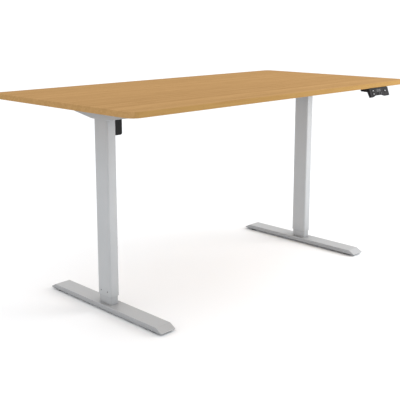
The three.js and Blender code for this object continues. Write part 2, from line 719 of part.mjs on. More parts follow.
const HANDSET_ROUTE = [
  [480, -315.7, 667], [480, -306, 667.5], [480, -294, LEAD.z], [480, -270, LEAD.z],
  [480, -230, LEAD.z], [478, -190, LEAD.z], [462, -145, LEAD.z], [430, -95, LEAD.z],
  [395, -40, LEAD.z], [360, 20, LEAD.z], [325, 78, LEAD.z], [290, 108, LEAD.z],
  [245, 118, LEAD.z], [180, 118, LEAD.z], [110, 118, LEAD.z], [40, 118, LEAD.z],
  [-30, 118, LEAD.z], [-62, 118, 669], [-78, 118, 661], [-88, 118, 657.3], [-96.7, 118, 657],
];

// A saddle clip screwed to the underside, open below its screw tab, with the lead along Y.
function clipGeometry(radius) {
  const inner = radius + FIT;
  const outer = inner + CLIP.wall;
  const drop = UNDERSIDE - LEAD.z;
  const arch = new THREE.Shape();
  arch.moveTo(-outer, drop);
  arch.lineTo(-outer, 0);
  arch.absarc(0, 0, outer, Math.PI, Math.PI * 2, false);
  arch.lineTo(outer, drop - CLIP.wall);
  arch.lineTo(outer + CLIP.tab, drop - CLIP.wall);
  arch.lineTo(outer + CLIP.tab, drop);
  arch.lineTo(inner, drop);
  arch.lineTo(inner, 0);
  arch.absarc(0, 0, inner, 0, Math.PI, true);
  arch.lineTo(-inner, drop);
  const standing = new THREE.Matrix4().makeBasis(
    new THREE.Vector3(1, 0, 0), new THREE.Vector3(0, 0, 1), new THREE.Vector3(0, -1, 0),
  );
  const saddle = alongZ(arch, -CLIP.width / 2, CLIP.width / 2, 4).applyMatrix4(standing);
  const holeX = outer + CLIP.tab / 2;
  const hole = rodZ(CLIP.hole, drop - CLIP.wall - OVER, drop + OVER, holeX, 0, 12);
  return cut(saddle, hole);
}

function makeLeads() {
  const leads = new THREE.Group();
  const motorLead = lead(MOTOR_ROUTE, LEAD.motorRadius, LEAD.motorSteps);
  const handsetLead = lead(HANDSET_ROUTE, LEAD.handsetRadius, LEAD.handsetSteps);
  leads.add(mesh('motor_lead', motorLead, RUBBER), mesh('handset_lead', handsetLead, RUBBER));
  for (const [name, radius, x, y, turn] of [
    ['motor_lead_clip', LEAD.motorRadius, -373, 125, Math.PI / 2],
    ['handset_lead_clip_1', LEAD.handsetRadius, 480, -250, 0],
    ['handset_lead_clip_2', LEAD.handsetRadius, 145, 118, Math.PI / 2],
  ]) {
    const clip = mesh(name, clipGeometry(radius), BLACK);
    clip.position.set(x, y, LEAD.z);
    clip.rotation.z = turn;
    leads.add(clip);
  }
  return leads;
}

// ---------------------------------------------------------------- whole desk

const desk = new THREE.Group();
desk.add(makeWorktop());
desk.add(makeLeg('left', -1), makeLeg('right', 1));
desk.add(makeCrossbar(), makeDrive(), makeCrossShaft());
desk.add(makeControlBox(), makeHandset(), makeLeads());

export default desk;
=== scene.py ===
"""Looks for the height adjustable standing desk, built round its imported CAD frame.

Metres, in the frame of the CAD part: X along the worktop, -Y towards the person, Z up.
The visible parts are rebuilt with finer shapes, and the inner CAD parts get better materials.
"""

import math

import bmesh
import bpy
from mathutils import Matrix, Vector


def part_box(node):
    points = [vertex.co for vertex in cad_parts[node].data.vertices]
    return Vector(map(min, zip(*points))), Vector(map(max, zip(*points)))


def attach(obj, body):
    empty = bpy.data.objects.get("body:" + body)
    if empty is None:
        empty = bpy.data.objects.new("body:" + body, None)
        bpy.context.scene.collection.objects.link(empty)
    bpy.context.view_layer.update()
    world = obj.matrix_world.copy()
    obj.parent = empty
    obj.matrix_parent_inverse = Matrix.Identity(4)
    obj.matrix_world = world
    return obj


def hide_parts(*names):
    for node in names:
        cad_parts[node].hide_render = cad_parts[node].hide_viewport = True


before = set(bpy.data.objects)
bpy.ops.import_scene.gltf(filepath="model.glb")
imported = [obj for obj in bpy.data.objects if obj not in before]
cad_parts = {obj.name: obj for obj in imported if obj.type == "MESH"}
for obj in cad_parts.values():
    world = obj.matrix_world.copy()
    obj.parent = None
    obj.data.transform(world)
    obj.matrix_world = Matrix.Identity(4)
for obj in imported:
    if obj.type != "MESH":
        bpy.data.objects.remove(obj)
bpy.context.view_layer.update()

MM = 0.001
UPPER = "upper_frame"
SIDES = {"left": -1, "right": 1}
PLACES = ("front", "rear")
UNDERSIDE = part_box("tabletop")[0].z


# ---- camera, floor and light

CAMERA_PLACE = (-1.9136, -1.7901, 0.9390)
CAMERA_HEADING = 45.444  # degrees from +Y towards +X
CAMERA_PITCH = 10.582  # degrees down
CAMERA_LENS = 66.0
CAMERA_SHIFT = -0.12
WORLD_STRENGTH = 1.2
KEY_PLACE, KEY_TARGET = Vector((1.5, -1.5, 1.0)), Vector((0.4, 0, 0.35))
KEY_SIZE, KEY_POWER = 1.6, 27
FLOOR_SIZE = 60.0


def add_object(name, data):
    thing = bpy.data.objects.new(name, data)
    bpy.context.scene.collection.objects.link(thing)
    return thing


def make_camera():
    data = bpy.data.cameras.new("camera")
    data.lens = CAMERA_LENS
    data.sensor_width = 36
    data.shift_y = CAMERA_SHIFT
    data.clip_end = 200
    camera = add_object("camera", data)
    camera.location = CAMERA_PLACE
    camera.rotation_euler = (math.radians(90 - CAMERA_PITCH), 0, -math.radians(CAMERA_HEADING))
    bpy.context.scene.camera = camera


def make_key_light():
    data = bpy.data.lights.new("key", "AREA")
    data.shape = "DISK"
    data.size = KEY_SIZE
    data.energy = KEY_POWER
    lamp = add_object("key", data)
    lamp.location = KEY_PLACE
    lamp.rotation_euler = (KEY_TARGET - KEY_PLACE).to_track_quat("-Z", "Y").to_euler()
    lamp.visible_camera = False


def make_studio():
    world = bpy.data.worlds.new("studio")
    world.use_nodes = True
    background = world.node_tree.nodes["Background"]
    background.inputs["Color"].default_value = (1, 1, 1, 1)
    background.inputs["Strength"].default_value = WORLD_STRENGTH
    bpy.context.scene.world = world
    bpy.context.scene.view_settings.view_transform = "Standard"


# ---- materials

class Shader:
    """A material under construction, with short calls for its nodes."""

    def __init__(self, name, roughness, metallic=0.0, specular=0.5):
        self.material = bpy.data.materials.new(name)
        self.material.use_nodes = True
        self.tree = self.material.node_tree
        self.surface = self.tree.nodes["Principled BSDF"]
        self.feed(self.surface, {"Roughness": roughness, "Metallic": metallic,
                                 "Specular IOR Level": specular})
        self.place = self.add("ShaderNodeTexCoord").outputs["Object"]

    def feed(self, node, inputs):
        """Sets a node's inputs to constants, or links them to other nodes' outputs."""
        for key, value in inputs.items():
            if isinstance(value, bpy.types.NodeSocket):
                self.tree.links.new(value, node.inputs[key])
            else:
                node.inputs[key].default_value = value

    def add(self, kind, inputs=None, **settings):
        node = self.tree.nodes.new(kind)
        for key, value in settings.items():
            setattr(node, key, value)
        self.feed(node, inputs or {})
        return node

    def math(self, operation, a, b=0.0, c=0.0):
        return self.add("ShaderNodeMath", {0: a, 1: b, 2: c}, operation=operation).outputs[0]

    def stretched(self, scale, offset=(0, 0, 0)):
        inputs = {"Vector": self.place, "Scale": scale, "Location": offset}
        return self.add("ShaderNodeMapping", inputs).outputs[0]

    def noise(self, scale, detail=3.0, vector=None, roughness=0.5):
        inputs = {"Vector": vector or self.place, "Scale": scale, "Detail": detail,
                  "Roughness": roughness}
        return self.add("ShaderNodeTexNoise", inputs).outputs["Fac"]

    def hashed(self, value):
        node = self.add("ShaderNodeTexWhiteNoise", {"W": value}, noise_dimensions="1D")
        return node.outputs["Value"]

    def blend(self, factor, low, high):
        node = self.add("ShaderNodeMix", {0: factor, 6: low, 7: high}, data_type="RGBA",
                        clamp_factor=True)
        return node.outputs[2]

    def spread(self, value, low, high, from_low=0.3, from_high=0.7):
        inputs = {0: value, 1: from_low, 2: from_high, 3: low, 4: high}
        return self.add("ShaderNodeMapRange", inputs, clamp=True).outputs[0]

    def off_centre(self, value):
        """0 in the middle between two whole numbers, 0.5 at a whole number."""
        return self.math("ABSOLUTE", self.math("SUBTRACT", self.math("FRACT", value), 0.5))

    def edges(self, radius):
        """1 on convex edges, 0 on flats, for a painted highlight there."""
        bevel = self.add("ShaderNodeBevel", {"Radius": radius}, samples=4).outputs[0]
        normal = self.add("ShaderNodeNewGeometry").outputs["Normal"]
        product = self.add("ShaderNodeVectorMath", {0: bevel, 1: normal},
                           operation="DOT_PRODUCT")
        return self.spread(product.outputs["Value"], 1.0, 0.0, 0.8, 1.0)

    def painted_shade_in_hollows(self, distance):
        """0 in the open, rising to 1 in tight corners and close to other surfaces, where shade is
        painted.
        """
        node = self.add("ShaderNodeAmbientOcclusion", {"Distance": distance}, samples=6)
        return self.math("SUBTRACT", 1.0, node.outputs["AO"])

    def facing(self, axis):
        """1 on faces square to an axis, 0 on faces along it."""
        normal = self.add("ShaderNodeTexCoord").outputs["Normal"]
        split = self.add("ShaderNodeSeparateXYZ", {0: normal})
        return self.math("ABSOLUTE", split.outputs[axis])

    def bump(self, height, strength, distance):
        node = self.add("ShaderNodeBump", {"Strength": strength, "Distance": distance,
                                           "Height": height})
        self.feed(self.surface, {"Normal": node.outputs[0]})

    def colour(self, value):
        self.feed(self.surface, {"Base Color": value})

    def rough(self, value):
        self.feed(self.surface, {"Roughness": value})


def rgb(red, green, blue):
    return (red, green, blue, 1.0)


def toned(colour, factor, lift=0.0):
    return rgb(*(part * factor + lift for part in colour[:3]))


def moulded(name, colour, roughness, grain, depth, fleck, specular):
    """Moulded plastic or rubber: a fine spark texture, and a faint change of tone and gloss."""
    s = Shader(name, roughness, specular=specular)
    cloud = s.noise(18, 4)
    grit = s.noise(grain, 2)
    light = toned(colour, 1 + fleck, 0.004)
    tone = s.blend(s.spread(cloud, 0.2, 0.8), toned(colour, 1 - fleck), light)
    s.colour(s.blend(s.math("MULTIPLY", s.spread(grit, 0, 1, 0.5, 0.8), 0.25), tone, light))
    s.rough(s.spread(cloud, roughness - 0.06, roughness + 0.07))
    s.bump(grit, 0.35, depth * MM)
    return s.material


def make_bamboo():
    """Oiled bamboo: three layers of narrow strips along X, with streaks, fibres, faint nodes and
    painted shade on its sides.
    """
    strip, layer, node_gap = 0.0075, 0.0062, 0.43
    seam_tone, node_tone, streak_tone = (rgb(0.20, 0.095, 0.026), rgb(0.23, 0.125, 0.042),
                                         rgb(0.30, 0.160, 0.056))
    s = Shader("bamboo", 0.5, specular=0.0)
    split = s.add("ShaderNodeSeparateXYZ", {0: s.place})
    across = s.math("DIVIDE", split.outputs["Y"], strip)
    upward = s.math("DIVIDE", s.math("SUBTRACT", split.outputs["Z"], UNDERSIDE - 0.0003), layer)
    row = s.math("MULTIPLY_ADD", s.math("FLOOR", upward), 977.0, s.math("FLOOR", across))
    tone = s.hashed(s.math("ADD", row, 0.37))
    shift = s.hashed(s.math("ADD", row, 41.3))
    fibre = s.noise(1, 4, s.stretched((14, 900, 900)), 0.6)
    band = s.noise(1, 2, s.stretched((3.0, 60, 60), (3, 1, 2)))
    streak = s.noise(1, 3, s.stretched((5, 130, 130), (7, 4, 9)), 0.62)
    along = s.math("ADD", s.math("DIVIDE", split.outputs["X"], node_gap), shift)
    knuckle = s.spread(s.off_centre(along), 0.22, 0.0, 0.0015, 0.006)
    knuckle = s.math("MULTIPLY", knuckle, s.spread(s.facing("X"), 1.0, 0.0))
    mixed = s.math("MULTIPLY_ADD", tone, 0.42, s.math("MULTIPLY", band, 0.58))
    colour = s.blend(s.spread(mixed, 0, 1, 0.2, 0.8), rgb(0.405, 0.240, 0.102),
                     rgb(0.495, 0.298, 0.132))
    # painted shade: the sides are darkened, the front and back more than the ends
    edge = s.spread(s.facing("Z"), 0.75, 0, 0.2, 0.8)
    edge = s.math("MULTIPLY", edge, s.spread(s.facing("X"), 1.0, 0.35))
    colour = s.blend(edge, colour, rgb(0.340, 0.204, 0.066))
    colour = s.blend(s.spread(streak, 0, 0.65, 0.56, 0.74), colour, streak_tone)
    colour = s.blend(s.spread(fibre, 0.5, 0, 0.3, 0.55), colour, rgb(0.29, 0.163, 0.063))
    colour = s.blend(knuckle, colour, node_tone)
    for place, low in ((across, 0.46), (upward, 0.47)):
        gap = s.spread(s.off_centre(place), 0, 0.3, low, 0.5)
        colour = s.blend(gap, colour, seam_tone)
    s.colour(colour)
    s.rough(s.spread(fibre, 0.44, 0.58))
    s.bump(fibre, 0.12, 0.00012)
    return s.material


def make_paint():
    """Silver-grey powder coat: a fine orange peel, a painted highlight on its edges and painted
    shade in its hollows.
    """
    s = Shader("frame_paint", 0.42, metallic=0.15)
    bright = rgb(0.60, 0.605, 0.61)
    peel = s.noise(650, 2)
    cloud = s.noise(7, 3)
    tone = s.blend(s.spread(cloud, 0, 1), rgb(0.388, 0.398, 0.408), rgb(0.418, 0.428, 0.438))
    speck = s.spread(s.noise(2600, 1), 0, 0.35, 0.6, 0.8)
    tone = s.blend(speck, tone, bright)
    # painted highlight: convex edges are lightened towards a brighter grey
    tone = s.blend(s.math("MULTIPLY", s.edges(0.0012), 0.35), tone, bright)
    # painted shade: the coat darkens towards near black in corners, near the floor and under the
    # worktop
    s.colour(s.blend(s.spread(s.painted_shade_in_hollows(0.09), 0, 0.42, 0.05, 0.6), tone, rgb(0.10, 0.10, 0.105)))
    s.rough(s.spread(cloud, 0.38, 0.47))
    s.bump(peel, 0.25, 0.00005)
    return s.material


def make_steel(name, colour, roughness, stretch):
    """Turned or drawn steel: fine tool lines across stretch, and small changes of gloss."""
    s = Shader(name, roughness, metallic=1.0)
    lines = s.noise(1, 3, s.stretched(stretch))
    stain = s.noise(40, 4)
    s.colour(s.blend(s.spread(stain, 0, 0.8), colour, toned(colour, 0.78)))
    s.rough(s.spread(lines, roughness - 0.07, roughness + 0.12))
    s.bump(lines, 0.15, 0.00003)
    return s.material


def make_circuit_green():
    s = Shader("circuit_board", 0.4)
    tracks = {"Vector": s.stretched((1, 1, 1)), "Scale": 90,
              "Color1": rgb(0.010, 0.095, 0.045), "Color2": rgb(0.014, 0.130, 0.060),
              "Mortar": rgb(0.030, 0.200, 0.090)}
    s.colour(s.add("ShaderNodeTexBrick", tracks, offset=0.37).outputs["Color"])
    s.bump(s.noise(300, 2), 0.2, 0.00004)
    return s.material


def make_window():
    """The smoked display window, with a faint haze of fine scratches."""
    s = Shader("display_window", 0.3, specular=0.12)
    haze = s.noise(120, 5)
    s.colour(s.blend(s.spread(haze, 0, 1), rgb(0.003, 0.003, 0.004), rgb(0.009, 0.009, 0.010)))
    s.rough(s.spread(haze, 0.22, 0.34))
    return s.material


def make_floor_finish():
    s = Shader("floor", 0.75, specular=0.1)
    cloud = s.noise(0.8, 3)
    s.colour(s.blend(s.spread(cloud, 0, 1), rgb(0.895, 0.910, 0.930), rgb(0.915, 0.930, 0.950)))
    return s.material


MOULDED = {  # colour, roughness, grain, its depth in mm, change of tone, specular
    "black_plastic": ((0.0065, 0.0065, 0.007), 0.5, 900, 0.04, 0.25, 0.14),
    "charcoal_plastic": ((0.0110, 0.0106, 0.0118), 0.5, 1400, 0.04, 0.25, 0.07),
    "keycap": ((0.0065, 0.0065, 0.007), 0.5, 1800, 0.03, 0.25, 0.1),
    "rubber": ((0.004, 0.004, 0.004), 0.8, 500, 0.06, 0.25, 0.08),
    "cable_jacket": ((0.007, 0.007, 0.007), 0.6, 700, 0.05, 0.25, 0.15),
    "cast_alloy": ((0.42, 0.43, 0.44), 0.5, 350, 0.1, 0.12, 0.5),
    "acetal": ((0.72, 0.71, 0.67), 0.4, 600, 0.03, 0.05, 0.5),
    "black_oxide": ((0.03, 0.03, 0.032), 0.38, 900, 0.04, 0.25, 0.5),
    "grey_phosphate": ((0.12, 0.12, 0.125), 0.4, 900, 0.04, 0.25, 0.5),
    "legend_print": ((0.72, 0.73, 0.75), 0.5, 2000, 0.01, 0.04, 0.5),
    "display_segment": ((0.05, 0.055, 0.06), 0.3, 2000, 0.01, 0.1, 0.5),
}
STEELS = {  # colour, roughness, density of the tool lines along X, Y and Z
    "steel": (rgb(0.56, 0.57, 0.58), 0.3, (500, 500, 2500)),
    "drawn_steel": (rgb(0.52, 0.53, 0.54), 0.34, (60, 1800, 1800)),
    "zinc_plate": (rgb(0.50, 0.51, 0.52), 0.36, (900, 900, 900)),
}
FINISH = {"bamboo": make_bamboo(), "frame_paint": make_paint(), "display_window": make_window(),
          "circuit_board": make_circuit_green()}
FINISH.update({name: moulded(name, *values) for name, values in MOULDED.items()})
FINISH.update({name: make_steel(name, *values) for name, values in STEELS.items()})


# ---- mesh tools

def face_outwards(data, merge=0.0):
    """Turns a mesh's faces outwards, once its points that lie within merge are joined."""
    work = bmesh.new()
    work.from_mesh(data)
    if merge:
        bmesh.ops.remove_doubles(work, verts=work.verts, dist=merge)
    bmesh.ops.recalc_face_normals(work, faces=work.faces)
    work.to_mesh(data)
    work.free()


def finish_piece(name, parts, slot, finish=None, body=UPPER, replaces=(), smooth_angle=34):
    """Makes a shaded piece that rides on its body."""
    data = mesh_of(name, parts)
    face_outwards(data, 1e-7)
    data.shade_smooth()
    data.set_sharp_from_angle(angle=math.radians(smooth_angle))
    data.materials.clear()
    data.materials.append(FINISH[finish or slot])
    piece = add_object(name, data)
    piece.modifiers.new("even_normals", "WEIGHTED_NORMAL").keep_sharp = True
    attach(piece, body)
    if replaces:
        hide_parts(*replaces)
    return piece


def mesh_of(name, parts):
    """One mesh from a list of (vertices, faces)."""
    vertices, faces = [], []
    for points, polygons in parts:
        start = len(vertices)
        vertices += [tuple(p) for p in points]
        faces += [tuple(start + i for i in polygon) for polygon in polygons]
    data = bpy.data.meshes.new(name)
    data.from_pydata(vertices, [], faces)
    data.update()
    return data


def loft(loops, closed=False):
    """A skin over loops with the same number of points. An open skin is capped at both ends."""
    count, rows = len(loops[0]), len(loops)
    vertices = [Vector(p) for loop in loops for p in loop]
    faces = []
    for row in range(rows if closed else rows - 1):
        a, b = row * count, (row + 1) % rows * count
        for i in range(count):
            j = (i + 1) % count
            faces.append((a + i, a + j, b + j, b + i))
    if not closed:
        faces.append(tuple(reversed(range(count))))
        faces.append(tuple(range((rows - 1) * count, rows * count)))
    return vertices, faces


def measured(node):
    """A CAD node's low corner, high corner, middle and size."""
    low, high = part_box(node)
    return low, high, (low + high) / 2, high - low


def moved(part, matrix):
    vertices, faces = part
    return [matrix @ Vector(v) for v in vertices], faces


def centred(part, middle):
    return moved(part, at(middle.x, middle.y))


def at(x=0.0, y=0.0, z=0.0, turn=None, axis="Z"):
    matrix = Matrix.Translation((x, y, z))
    return matrix if turn is None else matrix @ Matrix.Rotation(math.radians(turn), 4, axis)


def rounded_rect(width, depth, radius, steps=8):
    """Gives a function of inset, for the outline of a rectangle with rounded corners."""

    def outline(inset):
        w, d = width / 2 - inset, depth / 2 - inset
        r = max(radius - inset, 0.00004)
        points = []
        for sx, sy, start in ((1, 1, 0), (-1, 1, 90), (-1, -1, 180), (1, -1, 270)):
            for k in range(steps + 1):
                a = math.radians(start + 90 * k / steps)
                points.append((sx * (w - r) + r * math.cos(a), sy * (d - r) + r * math.sin(a)))
        return points

    return outline


def circle(radius, steps=32):
    def outline(inset):
        r = max(radius - inset, 0.00002)
        turn = math.tau / steps
        return [(r * math.cos(k * turn), r * math.sin(k * turn)) for k in range(steps)]

    return outline


def prism(outline, profile, closed=False):
    """A solid or tube whose wall follows (inset, z) pairs round an outline."""
    return loft([[(x, y, z) for x, y in outline(inset)] for inset, z in profile], closed)


def rounded_ends(z0, z1, edge, steps=4, top_edge=None):
    """Profile of a slab with rounded lower and upper edges."""
    top = edge if top_edge is None else top_edge
    low, high = [], []
    for k in range(steps + 1):
        a = math.pi / 2 * k / steps
        low.append((edge * (1 - math.sin(a)), z0 + edge * (1 - math.cos(a))))
        high.append((top * (1 - math.cos(a)), z1 - top * (1 - math.sin(a))))
    return low + high


def slab(node, corner, edge, corner_steps, edge_steps, top_edge=None):
    """A block as large as a CAD node, with rounded corners and edges."""
    low, high, middle, size = measured(node)
    outline = rounded_rect(size.x, size.y, corner, corner_steps)
    ends = rounded_ends(low.z, high.z, edge, edge_steps, top_edge)
    return centred(prism(outline, ends), middle)


def tube_walls(z0, z1, wall, lip):
    """Profile of a tube's wall, with its four rims broken by lip."""
    outside = [(lip, z0), (0, z0 + lip), (0, z1 - lip), (lip, z1)]
    inside = [(wall - lip, z1), (wall, z1 - lip), (wall, z0 + lip), (wall - lip, z0)]
    return outside + inside


def cut_holes(part, cutters):
    """Takes the cutters' solids out of a part, with exact booleans."""
    pair = []
    for name, solids in (("boolean_base", [part]), ("boolean_tool", cutters)):
        data = mesh_of(name, solids)
        face_outwards(data)
        pair.append(add_object(name, data))
    base, tool = pair
    boolean = base.modifiers.new("cut", "BOOLEAN")
    boolean.operation = "DIFFERENCE"
    boolean.solver = "EXACT"
    boolean.object = tool
    graph = bpy.context.evaluated_depsgraph_get()
    result = bpy.data.meshes.new_from_object(base.evaluated_get(graph))
    for thing in pair:
        bpy.data.objects.remove(thing)
    return [v.co for v in result.vertices], [tuple(p.vertices) for p in result.polygons]


def screw_head(radius, height, steps=24):
    """A pan head, flat on Z 0 and pointing up, with a hexagon socket."""
    disc = circle(radius, steps)
    loops = [[(x, y, z) for x, y in disc(inset)] for inset, z in
             [(0, 0), (0, height * 0.45), (radius * 0.08, height * 0.75), (radius * 0.25, height)]]
    sixth = math.pi / 3
    for depth in (height, height * 0.35):
        ring = []
        for k in range(steps):
            a = k * math.tau / steps
            r = radius * 0.52 * math.cos(sixth / 2) / math.cos((a % sixth) - sixth / 2)
            ring.append((r * math.cos(a), r * math.sin(a), depth))
        loops.append(ring)
    return loft(loops)


def heads_below(radius, height, places):
    """Pan heads that point down, sized in mm, at a list of places."""
    return [moved(screw_head(radius * MM, height * MM), at(x, y, z, 180, "X"))
            for x, y, z in places]


def threaded_rod(radius, root, pitch, starts, z0, z1, around=20, rows=6):
    """A rod with a trapezoid thread, as a grid of points whose radius follows the helix."""
    count = int(round((z1 - z0) / pitch * rows))
    loops = []
    for row in range(count + 1):
        z = z0 + (z1 - z0) * row / count
        loop = []
        for k in range(around):
            phase = (z / pitch - starts * k / around) % 1.0
            rise = min(max((0.5 - abs(phase - 0.5)) * 5 - 0.75, 0.0), 1.0)
            r = root + (radius - root) * rise
            a = math.tau * k / around
            loop.append((r * math.cos(a), r * math.sin(a), z))
        loops.append(loop)
    return loft(loops)


def between(p, q, start, stop, t):
    return p.lerp(q, (t - start) / (stop - start))


def smooth_route(points, steps):
    """Points on a centripetal Catmull-Rom curve through the given ones."""
    pts = [points[0] * 2 - points[1]] + points + [points[-1] * 2 - points[-2]]
    route = []
    for i in range(1, len(pts) - 2):
        p0, p1, p2, p3 = pts[i - 1:i + 3]
        t1 = (p1 - p0).length ** 0.5
        t2 = t1 + (p2 - p1).length ** 0.5
        t3 = t2 + (p3 - p2).length ** 0.5
        for k in range(steps):
            t = t1 + (t2 - t1) * k / steps
            a1, a2 = between(p0, p1, 0, t1, t), between(p1, p2, t1, t2, t)
            a3 = between(p2, p3, t2, t3, t)
            b1, b2 = between(a1, a2, 0, t2, t), between(a2, a3, t1, t3, t)
            route.append(between(b1, b2, t1, t2, t))
    return route + [pts[-2]]


def tube(route, radius, around):
    """A round tube along a route. radius is a number, or a function of the share of its length."""
    size = radius if callable(radius) else lambda share: radius
    loops = []
    side = (route[1] - route[0]).orthogonal().normalized()
    for i, point in enumerate(route):
        ahead = (route[min(i + 1, len(route) - 1)] - route[max(i - 1, 0)]).normalized()
        side = (side - ahead * side.dot(ahead)).normalized()
        other = ahead.cross(side)
        r = size(i / (len(route) - 1))
        loops.append([point + (side * math.cos(a) + other * math.sin(a)) * r
                      for a in (math.tau * k / around for k in range(around))])
    return loft(loops)


# ---- worktop

TOP_CORNER, TOP_EDGE = 30 * MM, 2.2 * MM


def make_worktop():
    board = slab("tabletop", TOP_CORNER, TOP_EDGE, 20, 5)
    finish_piece("worktop_board", [board], "bamboo", replaces=["tabletop"])


# ---- legs

FOOT_SLANT, FOOT_SHEET, FOOT_EDGE = 24 * MM, 2 * MM, 1.5 * MM
FOOT_BOLT_OUT = 18 * MM
FOOT_BOLT = (6.5, 4.5), (8, 1.2)  # the head's and the washer's radius and height, mm
BOSS_RADIUS, BOSS_WALL = 8 * MM, 3.7 * MM
BOSS_RISE = 0.5 * MM  # the threaded bosses start this far above the foot's lower edge
COLUMN_RIM = 0.35 * MM
INNER_WALL, INNER_CORNER = 1.5 * MM, 5 * MM
OUTER_WALL, OUTER_CORNER = 1.3 * MM, 6 * MM
SHAFT_HOLE = 7 * MM
GUIDE_SCREW_RISE, GUIDE_SCREW_OUT = 15.5 * MM, 16 * MM
GUIDE_SCREW_RADIUS, GUIDE_SCREW_PROUD = 2.4 * MM, 0.5 * MM
BRACKET_SHEET, BRACKET_WEB, BRACKET_FOLD = 2 * MM, 3 * MM, 2.4 * MM
BRACKET_SHAPE = [(260, 14.8), (259, 14.2), (44, 51.3), (40, 51.9), (36, 52)]  # mm out, mm deep
BRACKET_SCREWS = (-235, -110, 110, 235)
BRACKET_SCREW = (4.6, 3), (6.5, 1)  # the head's and the washer's radius and height, mm
PAD_PROFILE = [  # mm in from the rim, mm up: a floor edge, a groove and a domed top
    (1.0, 0.0), (0.3, 0.25), (0, 0.9), (0, 2.2), (0.5, 2.5), (0.5, 3.0), (0, 3.3),
    (0, 5.0), (0.5, 6.0), (1.6, 6.5), (8, 6.5),
]
STUD_RADIUS, STUD_ROOT, STUD_PITCH = 4 * MM, 3.4 * MM, 1.25 * MM
STUD_START, HEXAGON_TOP, HEXAGON_RADIUS = 6.4 * MM, 9.2 * MM, 7.4 * MM
SPINDLE_RADIUS, SPINDLE_ROOT = 7 * MM, 5.9 * MM
SPINDLE_PITCH, SPINDLE_STARTS = 5 * MM, 2
SPINDLE_THREAD_TOP, JOURNAL_START, JOURNAL_RADIUS = 612 * MM, 611.5 * MM, 6 * MM
STOP_RADIUS, STOP_HEIGHT = 10 * MM, 6 * MM


def screw_and_washer(head, washer, place):
    """A pan head on its washer, each given as its radius and height in mm."""
    thick = washer[1] * MM
    disc = prism(circle(washer[0] * MM), rounded_ends(0, thick, 0.2 * MM, 2))
    top = screw_head(head[0] * MM, head[1] * MM)
    return [moved(disc, place), moved(top, place @ at(z=thick))]


def soften(piece, width, segments):
    """Rounds a piece's sharp edges, before its normals are evened out."""
    bevel = piece.modifiers.new("soft_edges", "BEVEL")
    bevel.width = width
    bevel.segments = segments
    bevel.limit_method = "ANGLE"
    bevel.angle_limit = math.radians(25)
    bevel.use_clamp_overlap = True
    piece.modifiers.move(piece.modifiers.find("even_normals"), len(piece.modifiers) - 1)


def make_foot(side):
    """A folded steel shell, open underneath, with slanted ends and softly rounded edges."""
    low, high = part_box(f"{side}_foot")
    corners = []
    for z, inset in ((low.z, 0.0), (high.z, FOOT_SLANT)):
        corners += [(low.x, low.y + inset, z), (high.x, low.y + inset, z),
                    (high.x, high.y - inset, z), (low.x, high.y - inset, z)]
    faces = [(4, 5, 6, 7), (0, 1, 5, 4), (1, 2, 6, 5), (2, 3, 7, 6), (3, 0, 4, 7)]
    piece = finish_piece(f"{side}_foot_shell", [(corners, faces)], "frame_paint",
                         body=f"{side}_lower_leg", replaces=[f"{side}_foot"], smooth_angle=20)
    shell = piece.modifiers.new("sheet", "SOLIDIFY")
    shell.thickness = FOOT_SHEET
    shell.offset = -1
    shell.use_even_offset = True
    soften(piece, FOOT_EDGE, 4)


def make_foot_bolts(side):
    _, high, middle, _ = measured(f"{side}_foot")
    bolts = []
    for end in (-1, 1):
        roof = at(middle.x, middle.y + end * FOOT_BOLT_OUT, high.z - FOOT_SHEET, 180, "X")
        bolts += screw_and_washer(*FOOT_BOLT, roof)
    finish_piece(f"{side}_foot_bolts", bolts, "steel", "zinc_plate", f"{side}_lower_leg")


def make_glide_bosses(side):
    """The threaded bosses inside the foot that hold the glides' studs."""
    low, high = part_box(f"{side}_foot")
    walls = tube_walls(low.z + BOSS_RISE, high.z - FOOT_SHEET, BOSS_WALL, 0.4 * MM)
    boss = prism(circle(BOSS_RADIUS, 36), walls, True)
    bosses = [centred(boss, measured(f"{side}_{place}_glide")[2]) for place in PLACES]
    finish_piece(f"{side}_glide_bosses", bosses, "frame_paint", body=f"{side}_lower_leg")


def column(node, wall, corner):
    low, high, middle, size = measured(node)
    walls = tube_walls(low.z, high.z, wall, COLUMN_RIM)
    return centred(prism(rounded_rect(size.x, size.y, corner, 8), walls, True), middle)


def shaft_hole(wall_x, reach):
    """A cutter along X, where the cross shaft passes through a wall."""
    shaft = measured("cross_shaft")[2]
    bore = prism(circle(SHAFT_HOLE, 36), [(0, -reach), (0, reach)])
    return moved(bore, at(wall_x, shaft.y, shaft.z, 90, "Y"))


def make_columns(side):
    inner, outer = f"{side}_inner_tube", f"{side}_outer_tube"
    finish_piece(f"{side}_lower_column", [column(inner, INNER_WALL, INNER_CORNER)],
                 "frame_paint", body=f"{side}_lower_leg", replaces=[inner])
    low, high, middle, _ = measured(outer)
    inner_x, outer_x = (high.x, low.x) if side == "left" else (low.x, high.x)
    cut = cut_holes(column(outer, OUTER_WALL, OUTER_CORNER), [shaft_hole(inner_x, 6 * MM)])
    finish_piece(f"{side}_upper_column", [cut], "frame_paint", replaces=[outer])
    head = screw_head(GUIDE_SCREW_RADIUS, GUIDE_SCREW_PROUD, steps=18)
    screws = [moved(head, at(outer_x, middle.y + end * GUIDE_SCREW_OUT,
                             low.z + GUIDE_SCREW_RISE, 90 * SIDES[side], "Y"))
              for end in (-1, 1)]
    finish_piece(f"{side}_guide_screws", screws, "steel", "grey_phosphate")


def bracket_section(half, top, depth):
    """The bracket's outline in X and Z: a channel with rounded folds, open downwards."""
    bottom, inner, fold = top - depth, half - BRACKET_SHEET, BRACKET_FOLD
    bend = [(fold * (1 - math.cos(a)), fold * (1 - math.sin(a)))
            for a in (math.radians(90 * k / 4) for k in range(5))]
    left, right = [(x - half, top - z) for x, z in bend], [(half - z, top - x) for x, z in bend]
    roof = top - BRACKET_WEB
    return [(-half, bottom), *left, *right, (half, bottom), (inner, bottom), (inner, roof),
            (-inner, roof), (-inner, bottom)]


